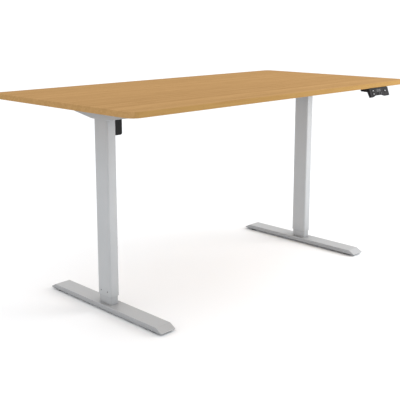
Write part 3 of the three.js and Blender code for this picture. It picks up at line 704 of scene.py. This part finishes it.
def make_bracket(side):
    """A folded channel whose sides are deep at the column and taper to both ends."""
    node = f"{side}_bracket"
    _, high, middle, size = measured(node)
    half = size.x / 2
    stations = [(-y, depth) for y, depth in BRACKET_SHAPE]
    stations += [(y, depth) for y, depth in reversed(BRACKET_SHAPE)]
    loops = [[(x, y * MM, z) for x, z in bracket_section(half, high.z, depth * MM)]
             for y, depth in stations]
    hole = shaft_hole(middle.x - SIDES[side] * half, 5 * MM)
    cut = cut_holes(centred(loft(loops), middle), [hole])
    piece = finish_piece(f"{side}_side_bracket", [cut], "frame_paint", replaces=[node])
    soften(piece, 0.5 * MM, 2)
    screws = []
    for y in BRACKET_SCREWS:
        under = at(middle.x, middle.y + y * MM, high.z - BRACKET_WEB, 180, "X")
        screws += screw_and_washer(*BRACKET_SCREW, under)
    finish_piece(f"{side}_bracket_screws", screws, "steel", "zinc_plate")


def make_glide(side, place):
    """A rubber pad with a grooved skirt, under a hexagon and a threaded stud."""
    node = f"{side}_{place}_glide"
    low, high, middle, size = measured(node)
    start = low.z + STUD_START
    profile = [(inset * MM, low.z + z * MM) for inset, z in PAD_PROFILE]
    pad = prism(circle(size.x / 2, 48), profile)
    finish_piece(f"{node}_pad", [centred(pad, middle)], "rubber", body=node, replaces=[node])
    stud = threaded_rod(STUD_RADIUS, STUD_ROOT, STUD_PITCH, 1, start, high.z)
    hexagon = prism(circle(HEXAGON_RADIUS, 6),
                    rounded_ends(start, low.z + HEXAGON_TOP, 0.3 * MM, 1))
    parts = [centred(part, middle) for part in (stud, hexagon)]
    finish_piece(f"{node}_stud", parts, "steel", "zinc_plate", node)


def make_lead_screw(side):
    """A two-start spindle with a stop at its foot and a plain journal at its top."""
    node = f"{side}_lead_screw"
    low, high, middle, _ = measured(node)
    thread = threaded_rod(SPINDLE_RADIUS, SPINDLE_ROOT, SPINDLE_PITCH, SPINDLE_STARTS,
                          low.z + STOP_HEIGHT, SPINDLE_THREAD_TOP)
    journal = prism(circle(JOURNAL_RADIUS), rounded_ends(JOURNAL_START, high.z, 0.5 * MM, 2))
    stop = prism(circle(STOP_RADIUS), rounded_ends(low.z, low.z + STOP_HEIGHT, 0.8 * MM, 3))
    parts = [centred(part, middle) for part in (thread, journal, stop)]
    finish_piece(f"{side}_threaded_screw", parts, "steel", body=f"{side}_screw",
                 replaces=[node])


# ---- crossbar

RAIL_HEIGHT, RAIL_DEPTH, RAIL_CORNER, RAIL_WALL = 30 * MM, 20 * MM, 3 * MM, 1.5 * MM
RAIL_RIM = 0.3 * MM
PLATE_HEIGHT, PLATE_DEPTH, PLATE_THICK = 36 * MM, 30 * MM, 2 * MM
WELD_HEIGHT, WELD_DEPTH = 32.5 * MM, 22.5 * MM
WELD_PROFILE = [(0, 1.9), (0.2, 2.6), (1.3, 3.4), (2.4, 3.4), (2.4, 1.9)]  # mm in, mm along
LOCKING_SCREWS = (-285, -262, 262, 285)


def make_rail(side, place):
    """A rail with its end plate and the weld bead between them."""
    node = f"{side}_{place}_rail"
    low, high, middle, size = measured(node)
    sign = SIDES[side]
    outer_end = high.x if sign > 0 else low.x
    rail = prism(rounded_rect(RAIL_HEIGHT, RAIL_DEPTH, RAIL_CORNER, 5),
                 tube_walls(0, size.x - PLATE_THICK, RAIL_WALL, RAIL_RIM), True)
    plate = prism(rounded_rect(PLATE_HEIGHT, PLATE_DEPTH, RAIL_CORNER, 5),
                  rounded_ends(0, PLATE_THICK, RAIL_RIM, 2))
    bead = [(inset * MM, z * MM) for inset, z in WELD_PROFILE]
    weld = prism(rounded_rect(WELD_HEIGHT, WELD_DEPTH, 4 * MM, 5), bead, True)
    inwards = at(outer_end, middle.y, middle.z, -90 * sign, "Y")
    parts = [moved(plate, inwards), moved(weld, inwards),
             moved(rail, inwards @ at(z=PLATE_THICK))]
    finish_piece(f"{side}_{place}_cross_rail", parts, "frame_paint", replaces=[node])


def make_sleeve(place):
    """The tube that both rails slide into, with its locking screws underneath."""
    node = f"{place}_sleeve_rail"
    low, _, middle, size = measured(node)
    sleeve = prism(rounded_rect(size.z, size.y, RAIL_CORNER, 5),
                   tube_walls(-size.x / 2, size.x / 2, RAIL_WALL, RAIL_RIM), True)
    lengthways = at(middle.x, middle.y, middle.z, 90, "Y")
    finish_piece(f"{place}_cross_sleeve", [moved(sleeve, lengthways)], "frame_paint",
                 replaces=[node])
    places = [(middle.x + x * MM, middle.y, low.z) for x in LOCKING_SCREWS]
    finish_piece(f"{place}_locking_screws", heads_below(4.5, 3.2, places), "steel",
                 "black_oxide")


def make_crossbar():
    for place in PLACES:
        for side in SIDES:
            make_rail(side, place)
        make_sleeve(place)


# ---- drive

COVER_CORNER, COVER_ROUND = 7.5 * MM, 6 * MM
HOUSING_CORNER, HOUSING_EDGE = 6 * MM, 0.6 * MM
RIB_PROUD, RIB_START, RIB_STOP = 0.6 * MM, 0.6 * MM, 3.2 * MM


def make_drive():
    cover = slab("motor_cover", COVER_CORNER, COVER_ROUND, 10, 8, 0.3 * MM)
    finish_piece("motor_shell", [cover], "black_plastic", replaces=["motor_cover"])
    housing = slab("drive_housing", HOUSING_CORNER, HOUSING_EDGE, 10, 3)
    low, _, middle, size = measured("drive_housing")
    rib = prism(rounded_rect(size.x + 2 * RIB_PROUD, size.y + 2 * RIB_PROUD, 6.5 * MM, 10),
                rounded_ends(low.z + RIB_START, low.z + RIB_STOP, 0.4 * MM, 2))
    finish_piece("drive_shell", [housing, centred(rib, middle)], "black_plastic",
                 replaces=["drive_housing"])


# ---- handset

HANDSET_DEPTH = 36 * MM
HANDSET_HEIGHT = 33 * MM  # down the slope of its face
HANDSET_LEAN = math.radians(18.5)
PANEL_THICK = 8 * MM
SHELF_FRONT, SHELF_BACK = 13 * MM, 12 * MM  # height of the flat case behind the face
HANDSET_RADII = (1.0, 2.6, 2.6, 3.0, 2.0, 0.6)  # mm, round the section from its top front
HANDSET_END, HANDSET_STATION = 2.4 * MM, 3 * MM
HANDSET_SCREWS = (0.09, 0.91)  # shares of its width
DIP_START, DIP_END, DIP_RAMP, DIP_RISE = 16, 106, 27, 5.5  # mm along and up the lower edge
POCKET_DEPTH, POCKET_GAP = 4.6, 0.35
KEY_BELOW, KEY_PROUD = 3.0, 1.2
KEYS = {  # mm on the face: along it, down it, width, height, corner
    "up_button": (24, 9.5, 17, 9, 2),
    "down_button": (24, 21.5, 17, 9, 2),
    "memory_1_button": (50.5, 21.5, 9, 5.5, 2),
    "memory_2_button": (62, 21.5, 9, 5.5, 2),
    "memory_3_button": (73.5, 21.5, 9, 5.5, 2),
    "set_button": (104, 14.5, 13, 13, 6.4),
}
DISPLAY = (62, 10, 32, 11, 1.5)
CHEVRON = [(-3.2, -1.5), (0, 1.5), (3.2, -1.5)]
INK, BOLD, FINE = 0.12, 1.1, 0.42  # mm: a legend's height, and the widths of its lines
RING, RING_WIDTH, DOT = 3.9, 0.8, 1.5
KEY_DISH, DISH_SHARES = 0.35 * MM, (0.45, 0.65, 0.85)
DIGITS = {
    "memory_1_button": [(-0.5, 0.75), (0.25, 1.35), (0.25, -1.35)],
    "memory_2_button": [(-0.8, 0.9), (-0.3, 1.35), (0.4, 1.3), (0.75, 0.75), (0.5, 0.1),
                        (-0.8, -1.3), (0.85, -1.3)],
    "memory_3_button": [(-0.8, 1.3), (0.75, 1.3), (-0.1, 0.25), (0.7, -0.1), (0.75, -0.85),
                        (0.2, -1.35), (-0.8, -1.2)],
}
FIGURES = (-8.5, 0, 8.5)  # mm: where the display's three figures stand
LEVEL_BARS = (2.6, 0, -2.6)
BAR_WIDTH, BAR_HEIGHT = 0.55, 0.06


def face_frame():
    """X along the desk, Y up the slope of the handset's face, Z out of it."""
    low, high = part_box("handset_case")
    corner = Matrix.Translation((low.x, high.y - HANDSET_DEPTH, high.z))
    return corner @ Matrix.Rotation(math.pi / 2 - HANDSET_LEAN, 4, "X")


def on_face(part, u, v, lift=0.0):
    return moved(part, face_frame() @ at(u * MM, -v * MM, lift * MM))


def offset_corners(corners, inset):
    """Moves each side of an outline inwards, for corners that run anticlockwise."""
    result = []
    for i, corner in enumerate(corners):
        before = (corner - corners[i - 1]).normalized()
        after = (corners[(i + 1) % len(corners)] - corner).normalized()
        inward = Vector((-before.y, before.x)) + Vector((-after.y, after.x))
        reach = inset / max(inward.length_squared / 2, 0.2)
        result.append(corner + inward * reach)
    return result


def filleted(corners, radii, steps=5):
    """Rounds each corner of an outline with its own radius."""
    points = []
    for i, corner in enumerate(corners):
        back = (corners[i - 1] - corner).normalized()
        ahead = (corners[(i + 1) % len(corners)] - corner).normalized()
        half = math.acos(max(-1.0, min(1.0, back.dot(ahead)))) / 2
        start = corner + back * (radii[i] / math.tan(half))
        stop = corner + ahead * (radii[i] / math.tan(half))
        for k in range(steps + 1):
            t = k / steps
            points.append(start.lerp(corner, t).lerp(corner.lerp(stop, t), t))
    return points


def dip_at(u):
    """How far the lower edge has risen, u mm from the handset's left end."""
    share = min(max(min(u - DIP_START, DIP_END - u) / DIP_RAMP, 0.0), 1.0)
    return DIP_RISE * MM * share * share * (3 - 2 * share)


def handset_section(low, high, u, inset):
    """The outline of the handset in Y and Z: a flat case with a sloping face hung below it."""
    slope = Vector((-math.sin(HANDSET_LEAN), -math.cos(HANDSET_LEAN)))
    behind = Vector((math.cos(HANDSET_LEAN), -math.sin(HANDSET_LEAN)))
    front = high.y - HANDSET_DEPTH
    top_front = Vector((front, high.z))
    tip = top_front + slope * (HANDSET_HEIGHT - dip_at(u / MM))
    corners = [top_front, tip, tip + behind * PANEL_THICK,
               Vector((front + PANEL_THICK, high.z - SHELF_FRONT)),
               Vector((high.y, high.z - SHELF_BACK)), Vector((high.y, high.z))]
    radii = [max(r * MM - inset, 0.2 * MM) for r in HANDSET_RADII]
    radii[3] = HANDSET_RADII[3] * MM + inset  # the one corner that is hollow
    outline = filleted(offset_corners(corners, inset), radii)
    return [(low.x + u, y, z) for y, z in outline]


def make_handset_case():
    low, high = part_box("handset_case")
    width = high.x - low.x
    ends = rounded_ends(0, width, HANDSET_END, 5)
    count = int(width / HANDSET_STATION)
    middle = [(0.0, k * HANDSET_STATION) for k in range(2, count - 1)]
    half = len(ends) // 2
    stations = ends[:half] + middle + ends[half:]
    case = loft([handset_section(low, high, u, inset) for inset, u in stations])
    cutters = []
    for u, v, w, h, corner in KEYS.values():
        outline = rounded_rect((w + 2 * POCKET_GAP) * MM, (h + 2 * POCKET_GAP) * MM,
                               (corner + POCKET_GAP) * MM, 5)
        well = prism(outline, [(0, -POCKET_DEPTH * MM), (0, -0.25 * MM), (-0.25 * MM, 0),
                               (-0.25 * MM, MM)])
        cutters.append(on_face(well, u, v))
    u, v, w, h, corner = DISPLAY
    window = prism(rounded_rect((w + 0.6) * MM, (h + 0.6) * MM, corner * MM, 5),
                   [(0, -1.5 * MM), (0, MM)])
    cutters.append(on_face(window, u, v))
    finish_piece("handset_shell", [cut_holes(case, cutters)], "charcoal_plastic",
                 replaces=["handset_case"])
    places = [(low.x + width * share, high.y - 12 * MM, high.z - 12.3 * MM)
              for share in HANDSET_SCREWS]
    finish_piece("handset_screws", heads_below(3.4, 1.6, places), "steel", "black_oxide")


def stroke(points, width, height):
    """A raised line of even width along points in a plane."""
    pts = [Vector(p) for p in points]
    left, right = [], []
    for i, point in enumerate(pts):
        back = (point - pts[i - 1]).normalized() if i else (pts[1] - point).normalized()
        ahead = (pts[i + 1] - point).normalized() if i + 1 < len(pts) else back
        across = (Vector((-back.y, back.x)) + Vector((-ahead.y, ahead.x))).normalized()
        reach = width / 2 / max(across.dot(Vector((-back.y, back.x))), 0.4)
        left.append(point + across * reach)
        right.append(point - across * reach)
    outline = [p * MM for p in right + left[::-1]]
    return loft([[(p.x, p.y, z) for p in outline] for z in (0, height * MM)])


def key_legend(name):
    if name == "up_button":
        return [stroke(CHEVRON, BOLD, INK)]
    if name == "down_button":
        return [stroke([(x, -y) for x, y in CHEVRON], BOLD, INK)]
    if name == "set_button":
        ink = INK * MM
        ring = [(0, 0), (0, ink), (RING_WIDTH * MM, ink), (RING_WIDTH * MM, 0)]
        return [prism(circle(RING * MM, 40), ring, True),
                prism(circle(DOT * MM, 24), [(0, 0), (0, ink)])]
    return [stroke(DIGITS[name], FINE, INK)]


def make_keys():
    """Dished keycaps in their wells, with raised legends that move with them."""
    for name, (u, v, w, h, corner) in KEYS.items():
        wall = rounded_ends(-KEY_BELOW * MM, KEY_PROUD * MM, 0.3 * MM, 2, 0.9 * MM)
        reach = min(w, h) / 2 * MM
        crown = [(reach * share, KEY_PROUD * MM - KEY_DISH * math.sin(math.pi / 2 * share))
                 for share in DISH_SHARES]
        cap = prism(rounded_rect(w * MM, h * MM, corner * MM, 8), wall + crown)
        finish_piece(name.replace("_button", "_keycap"), [on_face(cap, u, v)], "keycap",
                     body=name, replaces=[name], smooth_angle=50)
        legend = [on_face(part, u, v, KEY_PROUD - 0.36) for part in key_legend(name)]
        finish_piece(name.replace("_button", "_legend"), legend, "keycap", "legend_print",
                     name)


def make_display():
    """A smoked window over three unlit figures of seven bars."""
    u, v, w, h, corner = DISPLAY
    glass = prism(rounded_rect(w * MM, h * MM, corner * MM, 6),
                  rounded_ends(-1.2 * MM, 0, 0.15 * MM, 2, 0.35 * MM))
    finish_piece("display_glass", [on_face(glass, u, v)], "display_window",
                 replaces=["handset_display"])
    lines = [[(-1.5, y), (1.5, y)] for y in LEVEL_BARS]
    lines += [[(x, y - 0.95), (x, y + 0.95)] for x in (-2, 2) for y in (1.3, -1.3)]
    bars = [on_face(stroke(line, BAR_WIDTH, BAR_HEIGHT), u + figure, v)
            for figure in FIGURES for line in lines]
    finish_piece("display_segments", bars, "display_window", "display_segment")


# ---- control box

BOX_WALL, BOX_CORNER, BOX_EDGE = 2 * MM, 4 * MM, 1.6 * MM
PORT_GAP, PORT_REACH = 0.3 * MM, 6 * MM
VENT_COUNT, VENT_PITCH, VENT_WIDTH, VENT_HEIGHT = 14, 6 * MM, 2.2 * MM, 13 * MM
EAR_HOLE, EAR_HOLE_IN, LID_SCREW_IN = 2.5 * MM, 7 * MM, 9 * MM
PIN_RADIUS, PIN_LENGTH, PIN_OUT, PIN_BACK = 1.2 * MM, 9 * MM, 4.3 * MM, 16 * MM
CANS = [(24, 14, 8, 18), (44, 13, 6, 15), (24, 34, 6, 15),  # mm: x, y, radius, height
        (60, 12, 4, 11), (60, 24, 4, 11)]
BLOCKS = [(82, 14, 18, 14, 15), (104, 14, 18, 14, 15),  # mm: x, y, width, depth, height
          (92, 36, 26, 8, 9), (124, 34, 12, 18, 6)]
FIN_COUNT, FIN_PITCH, FIN_THICK, FIN_HEIGHT = 7, 3.2 * MM, 1.4 * MM, 17 * MM
SINK_DEPTH, SINK_WIDTH, SINK_START = 22 * MM, 24 * MM, 8 * MM


def port(width, height, place):
    """A cutter for a socket's opening, a little larger than the socket."""
    outline = rounded_rect(width + 2 * PORT_GAP, height + 2 * PORT_GAP, MM, 2)
    return moved(prism(outline, [(0, -PORT_REACH), (0, PORT_REACH)]), place)


def make_control_box():
    """A moulded tray with openings for its three sockets and a row of vents in front."""
    low, high, middle, size = measured("control_box_case")
    profile = rounded_ends(low.z, high.z, BOX_EDGE, 4, 0.2 * MM)
    profile += [(BOX_WALL, high.z), (BOX_WALL, low.z + BOX_WALL)]
    tray = centred(prism(rounded_rect(size.x, size.y, BOX_CORNER, 6), profile), middle)
    cutters = []
    for node in ("motor_connector", "handset_connector"):
        _, _, centre, reach = measured(node)
        wall_x = low.x if centre.x < middle.x else high.x
        cutters.append(port(reach.z, reach.y, at(wall_x, centre.y, centre.z, 90, "Y")))
    _, _, centre, reach = measured("mains_inlet")
    cutters.append(port(reach.x, reach.z, at(centre.x, high.y, centre.z, 90, "X")))
    for k in range(VENT_COUNT):
        x = middle.x + (k - (VENT_COUNT - 1) / 2) * VENT_PITCH
        slot = prism(rounded_rect(VENT_WIDTH, VENT_HEIGHT, MM, 3),
                     [(0, -2 * BOX_WALL), (0, 2 * BOX_WALL)])
        cutters.append(moved(slot, at(x, low.y, middle.z, 90, "X")))
    finish_piece("control_box_shell", [cut_holes(tray, cutters)], "black_plastic",
                 replaces=["control_box_case"])


def make_lid():
    low, high, middle, _ = measured("control_box_lid")
    plate = slab("control_box_lid", BOX_CORNER, 0.6 * MM, 6, 3, 0.15 * MM)
    ears = [low.x + EAR_HOLE_IN, high.x - EAR_HOLE_IN]
    holes = [moved(prism(circle(EAR_HOLE, 24), [(0, low.z - MM), (0, high.z + MM)]),
                   at(x, middle.y)) for x in ears]
    finish_piece("control_box_plate", [cut_holes(plate, holes)], "black_plastic",
                 replaces=["control_box_lid"])
    screws = heads_below(4.2, 2.6, [(x, middle.y, low.z) for x in ears])
    low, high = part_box("control_box_case")
    corners = [(x, y, low.z) for x in (low.x + LID_SCREW_IN, high.x - LID_SCREW_IN)
               for y in (low.y + LID_SCREW_IN, high.y - LID_SCREW_IN)]
    finish_piece("control_box_screws", screws + heads_below(2.6, 1, corners), "steel",
                 "black_oxide")


def make_inlet_pins():
    _, high, middle, _ = measured("mains_inlet")
    pin = prism(circle(PIN_RADIUS, 20), rounded_ends(0, PIN_LENGTH, 0.1 * MM, 1, 0.8 * MM))
    pins = [moved(pin, at(middle.x + side * PIN_OUT, high.y - PIN_BACK, middle.z, -90, "X"))
            for side in (-1, 1)]
    finish_piece("inlet_pins", pins, "steel", "zinc_plate")


def make_board_components():
    """Power parts on the circuit board: capacitors, relays, a choke and a finned heat sink."""
    low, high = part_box("circuit_board")
    shapes = [(x, y, circle(radius * MM, 28), rounded_ends(0, height * MM, 0.3 * MM, 2, 0.8 * MM))
              for x, y, radius, height in CANS]
    shapes += [(x, y, rounded_rect(width * MM, depth * MM, 0.6 * MM, 3),
                rounded_ends(0, height * MM, 0.2 * MM, 1, 0.5 * MM))
               for x, y, width, depth, height in BLOCKS]
    parts = [moved(prism(outline, profile), at(low.x + x * MM, low.y + y * MM, high.z))
             for x, y, outline, profile in shapes]
    finish_piece("board_components", parts, "black_plastic")
    fin = prism(rounded_rect(FIN_THICK, SINK_DEPTH, 0.4 * MM, 2),
                rounded_ends(0, FIN_HEIGHT, 0.1 * MM, 1, 0.3 * MM))
    foot = prism(rounded_rect(SINK_WIDTH, SINK_DEPTH, 0.6 * MM, 2), [(0, 0), (0, 2 * MM)])
    y = high.y - 13 * MM
    sink = [moved(fin, at(high.x - SINK_START - k * FIN_PITCH, y, high.z))
            for k in range(FIN_COUNT)]
    centre_x = high.x - SINK_START - (FIN_COUNT - 1) / 2 * FIN_PITCH
    sink.append(moved(foot, at(centre_x, y, high.z)))
    finish_piece("board_heat_sink", sink, "cast_alloy")


# ---- leads

LEAD_HEIGHT = UNDERSIDE / MM - 2.8
MOTOR_ROUTE = [  # mm: a point without a height is clipped up under the worktop
    (-456.7, 3, 657), (-451, 3, 657.5), (-443, 4, 663), (-437, 9, 669.5),
    (-434, 18), (-434, 40), (-434, 66), (-434, 90), (-427, 112), (-408, 124),
    (-385, 125), (-362, 125), (-340, 125, 669), (-325, 125, 661), (-314, 125, 657.3),
    (-303.3, 125, 657),
]
HANDSET_ROUTE = [
    (480, -315.7, 667), (480, -306, 667.5), (480, -294), (480, -270), (480, -230),
    (478, -190), (462, -145), (430, -95), (395, -40), (360, 20), (325, 78), (290, 108),
    (245, 118), (180, 118), (110, 118), (40, 118), (-30, 118), (-62, 118, 669),
    (-78, 118, 661), (-88, 118, 657.3), (-96.7, 118, 657),
]
RELIEF_LENGTH, RELIEF_RINGS = 16 * MM, 5
LEADS = {"motor_lead": (MOTOR_ROUTE, 2.5), "handset_lead": (HANDSET_ROUTE, 2.0)}
CLIPS = {  # mm: where the lead passes, its radius, and the clip's turn in degrees
    "motor_lead_clip": (-373, 125, 2.5, 90),
    "handset_lead_clip_1": (480, -250, 2.0, 0),
    "handset_lead_clip_2": (145, 118, 2.0, 90),
}


def strain_relief(route, radius):
    """A ribbed sleeve that tapers from the housing along the first stretch of a lead."""

    def size(share):
        groove = 0.06 * (1 + math.cos(math.tau * RELIEF_RINGS * share))
        return radius * (1.75 - 0.55 * share - groove)

    path, walked = [], 0.0
    for a, b in zip(route, route[1:]):
        path += [a.lerp(b, k / 4) for k in range(4)]
        walked += (b - a).length
        if walked > RELIEF_LENGTH:
            break
    return tube(path + [b], size, 20)


def make_leads():
    for name, (points, radius) in LEADS.items():
        route = smooth_route([Vector((p + (LEAD_HEIGHT,))[:3]) * MM for p in points], 7)
        finish_piece(f"{name}_jacket", [tube(route, radius * MM, 16)], "cable_jacket",
                     replaces=[name], smooth_angle=60)
        sleeves = [strain_relief(way, radius * MM) for way in (route, route[::-1])]
        finish_piece(f"{name}_reliefs", sleeves, "black_plastic", smooth_angle=60)
    screws = []
    for x, y, radius, turn in CLIPS.values():
        tab = at(x * MM, y * MM, (LEAD_HEIGHT + 1.3) * MM, turn) @ at(x=(radius + 6.3) * MM)
        screws.append(moved(screw_head(3.0 * MM, 1.8 * MM), tab @ at(turn=180, axis="X")))
    finish_piece("clip_screws", screws, "steel", "zinc_plate")


# ---- carried-over CAD nodes

def both_sides(*parts):
    return [f"{side}_{part}" for part in parts for side in SIDES]


CARRIED = {
    "acetal": both_sides("slide_cap", "lift_nut", "guide_collar"),
    "cast_alloy": both_sides("gearbox"),
    "steel": both_sides("screw_bearing", "screw_gear", "shaft_gear") + [
        "gearmotor", "motor_pinion", "drive_crown_gear"],
    "drawn_steel": ["cross_shaft"],
    "black_plastic": ["mains_inlet", *CLIPS],
    "charcoal_plastic": ["motor_connector", "handset_connector"],
    "circuit_board": ["circuit_board"],
}


def shade_by_angle():
    """A modifier tree that smooths faces and keeps edges sharp above 35 degrees."""
    tree = bpy.data.node_groups.new("shade_by_angle", "GeometryNodeTree")
    for way in ("INPUT", "OUTPUT"):
        tree.interface.new_socket("Geometry", in_out=way, socket_type="NodeSocketGeometry")
    add, link = tree.nodes.new, tree.links.new
    start, end = add("NodeGroupInput"), add("NodeGroupOutput")
    angle, sharper = add("GeometryNodeInputMeshEdgeAngle"), add("FunctionNodeCompare")
    sharper.data_type = "FLOAT"
    sharper.operation = "GREATER_THAN"
    sharper.inputs["B"].default_value = math.radians(35)
    faces, edges = add("GeometryNodeSetShadeSmooth"), add("GeometryNodeSetShadeSmooth")
    faces.domain, edges.domain = "FACE", "EDGE"
    edges.inputs["Shade Smooth"].default_value = False
    link(start.outputs[0], faces.inputs["Geometry"])
    link(faces.outputs[0], edges.inputs["Geometry"])
    link(angle.outputs["Unsigned Angle"], sharper.inputs["A"])
    link(sharper.outputs[0], edges.inputs["Selection"])
    link(edges.outputs[0], end.inputs[0])
    return tree


def dress_carried_nodes():
    tree = shade_by_angle()
    for finish, names in CARRIED.items():
        for name in names:
            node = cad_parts[name]
            node.data.materials.clear()
            node.data.materials.append(FINISH[finish])
            node.modifiers.new("shade_by_angle", "NODES").node_group = tree


# ---- whole desk

def make_floor():
    data = bpy.data.meshes.new("floor")
    half = FLOOR_SIZE / 2
    data.from_pydata([(-half, -half, 0), (half, -half, 0), (half, half, 0), (-half, half, 0)],
                     [], [(0, 1, 2, 3)])
    data.materials.append(make_floor_finish())
    add_object("floor", data)


make_camera()
make_studio()
make_key_light()
make_floor()
make_worktop()
for leg in SIDES:
    make_foot(leg)
    make_foot_bolts(leg)
    make_glide_bosses(leg)
    make_columns(leg)
    make_bracket(leg)
    make_lead_screw(leg)
    for end in PLACES:
        make_glide(leg, end)
make_crossbar()
make_drive()
make_handset_case()
make_keys()
make_display()
make_control_box()
make_lid()
make_inlet_pins()
make_board_components()
make_leads()
dress_carried_nodes()
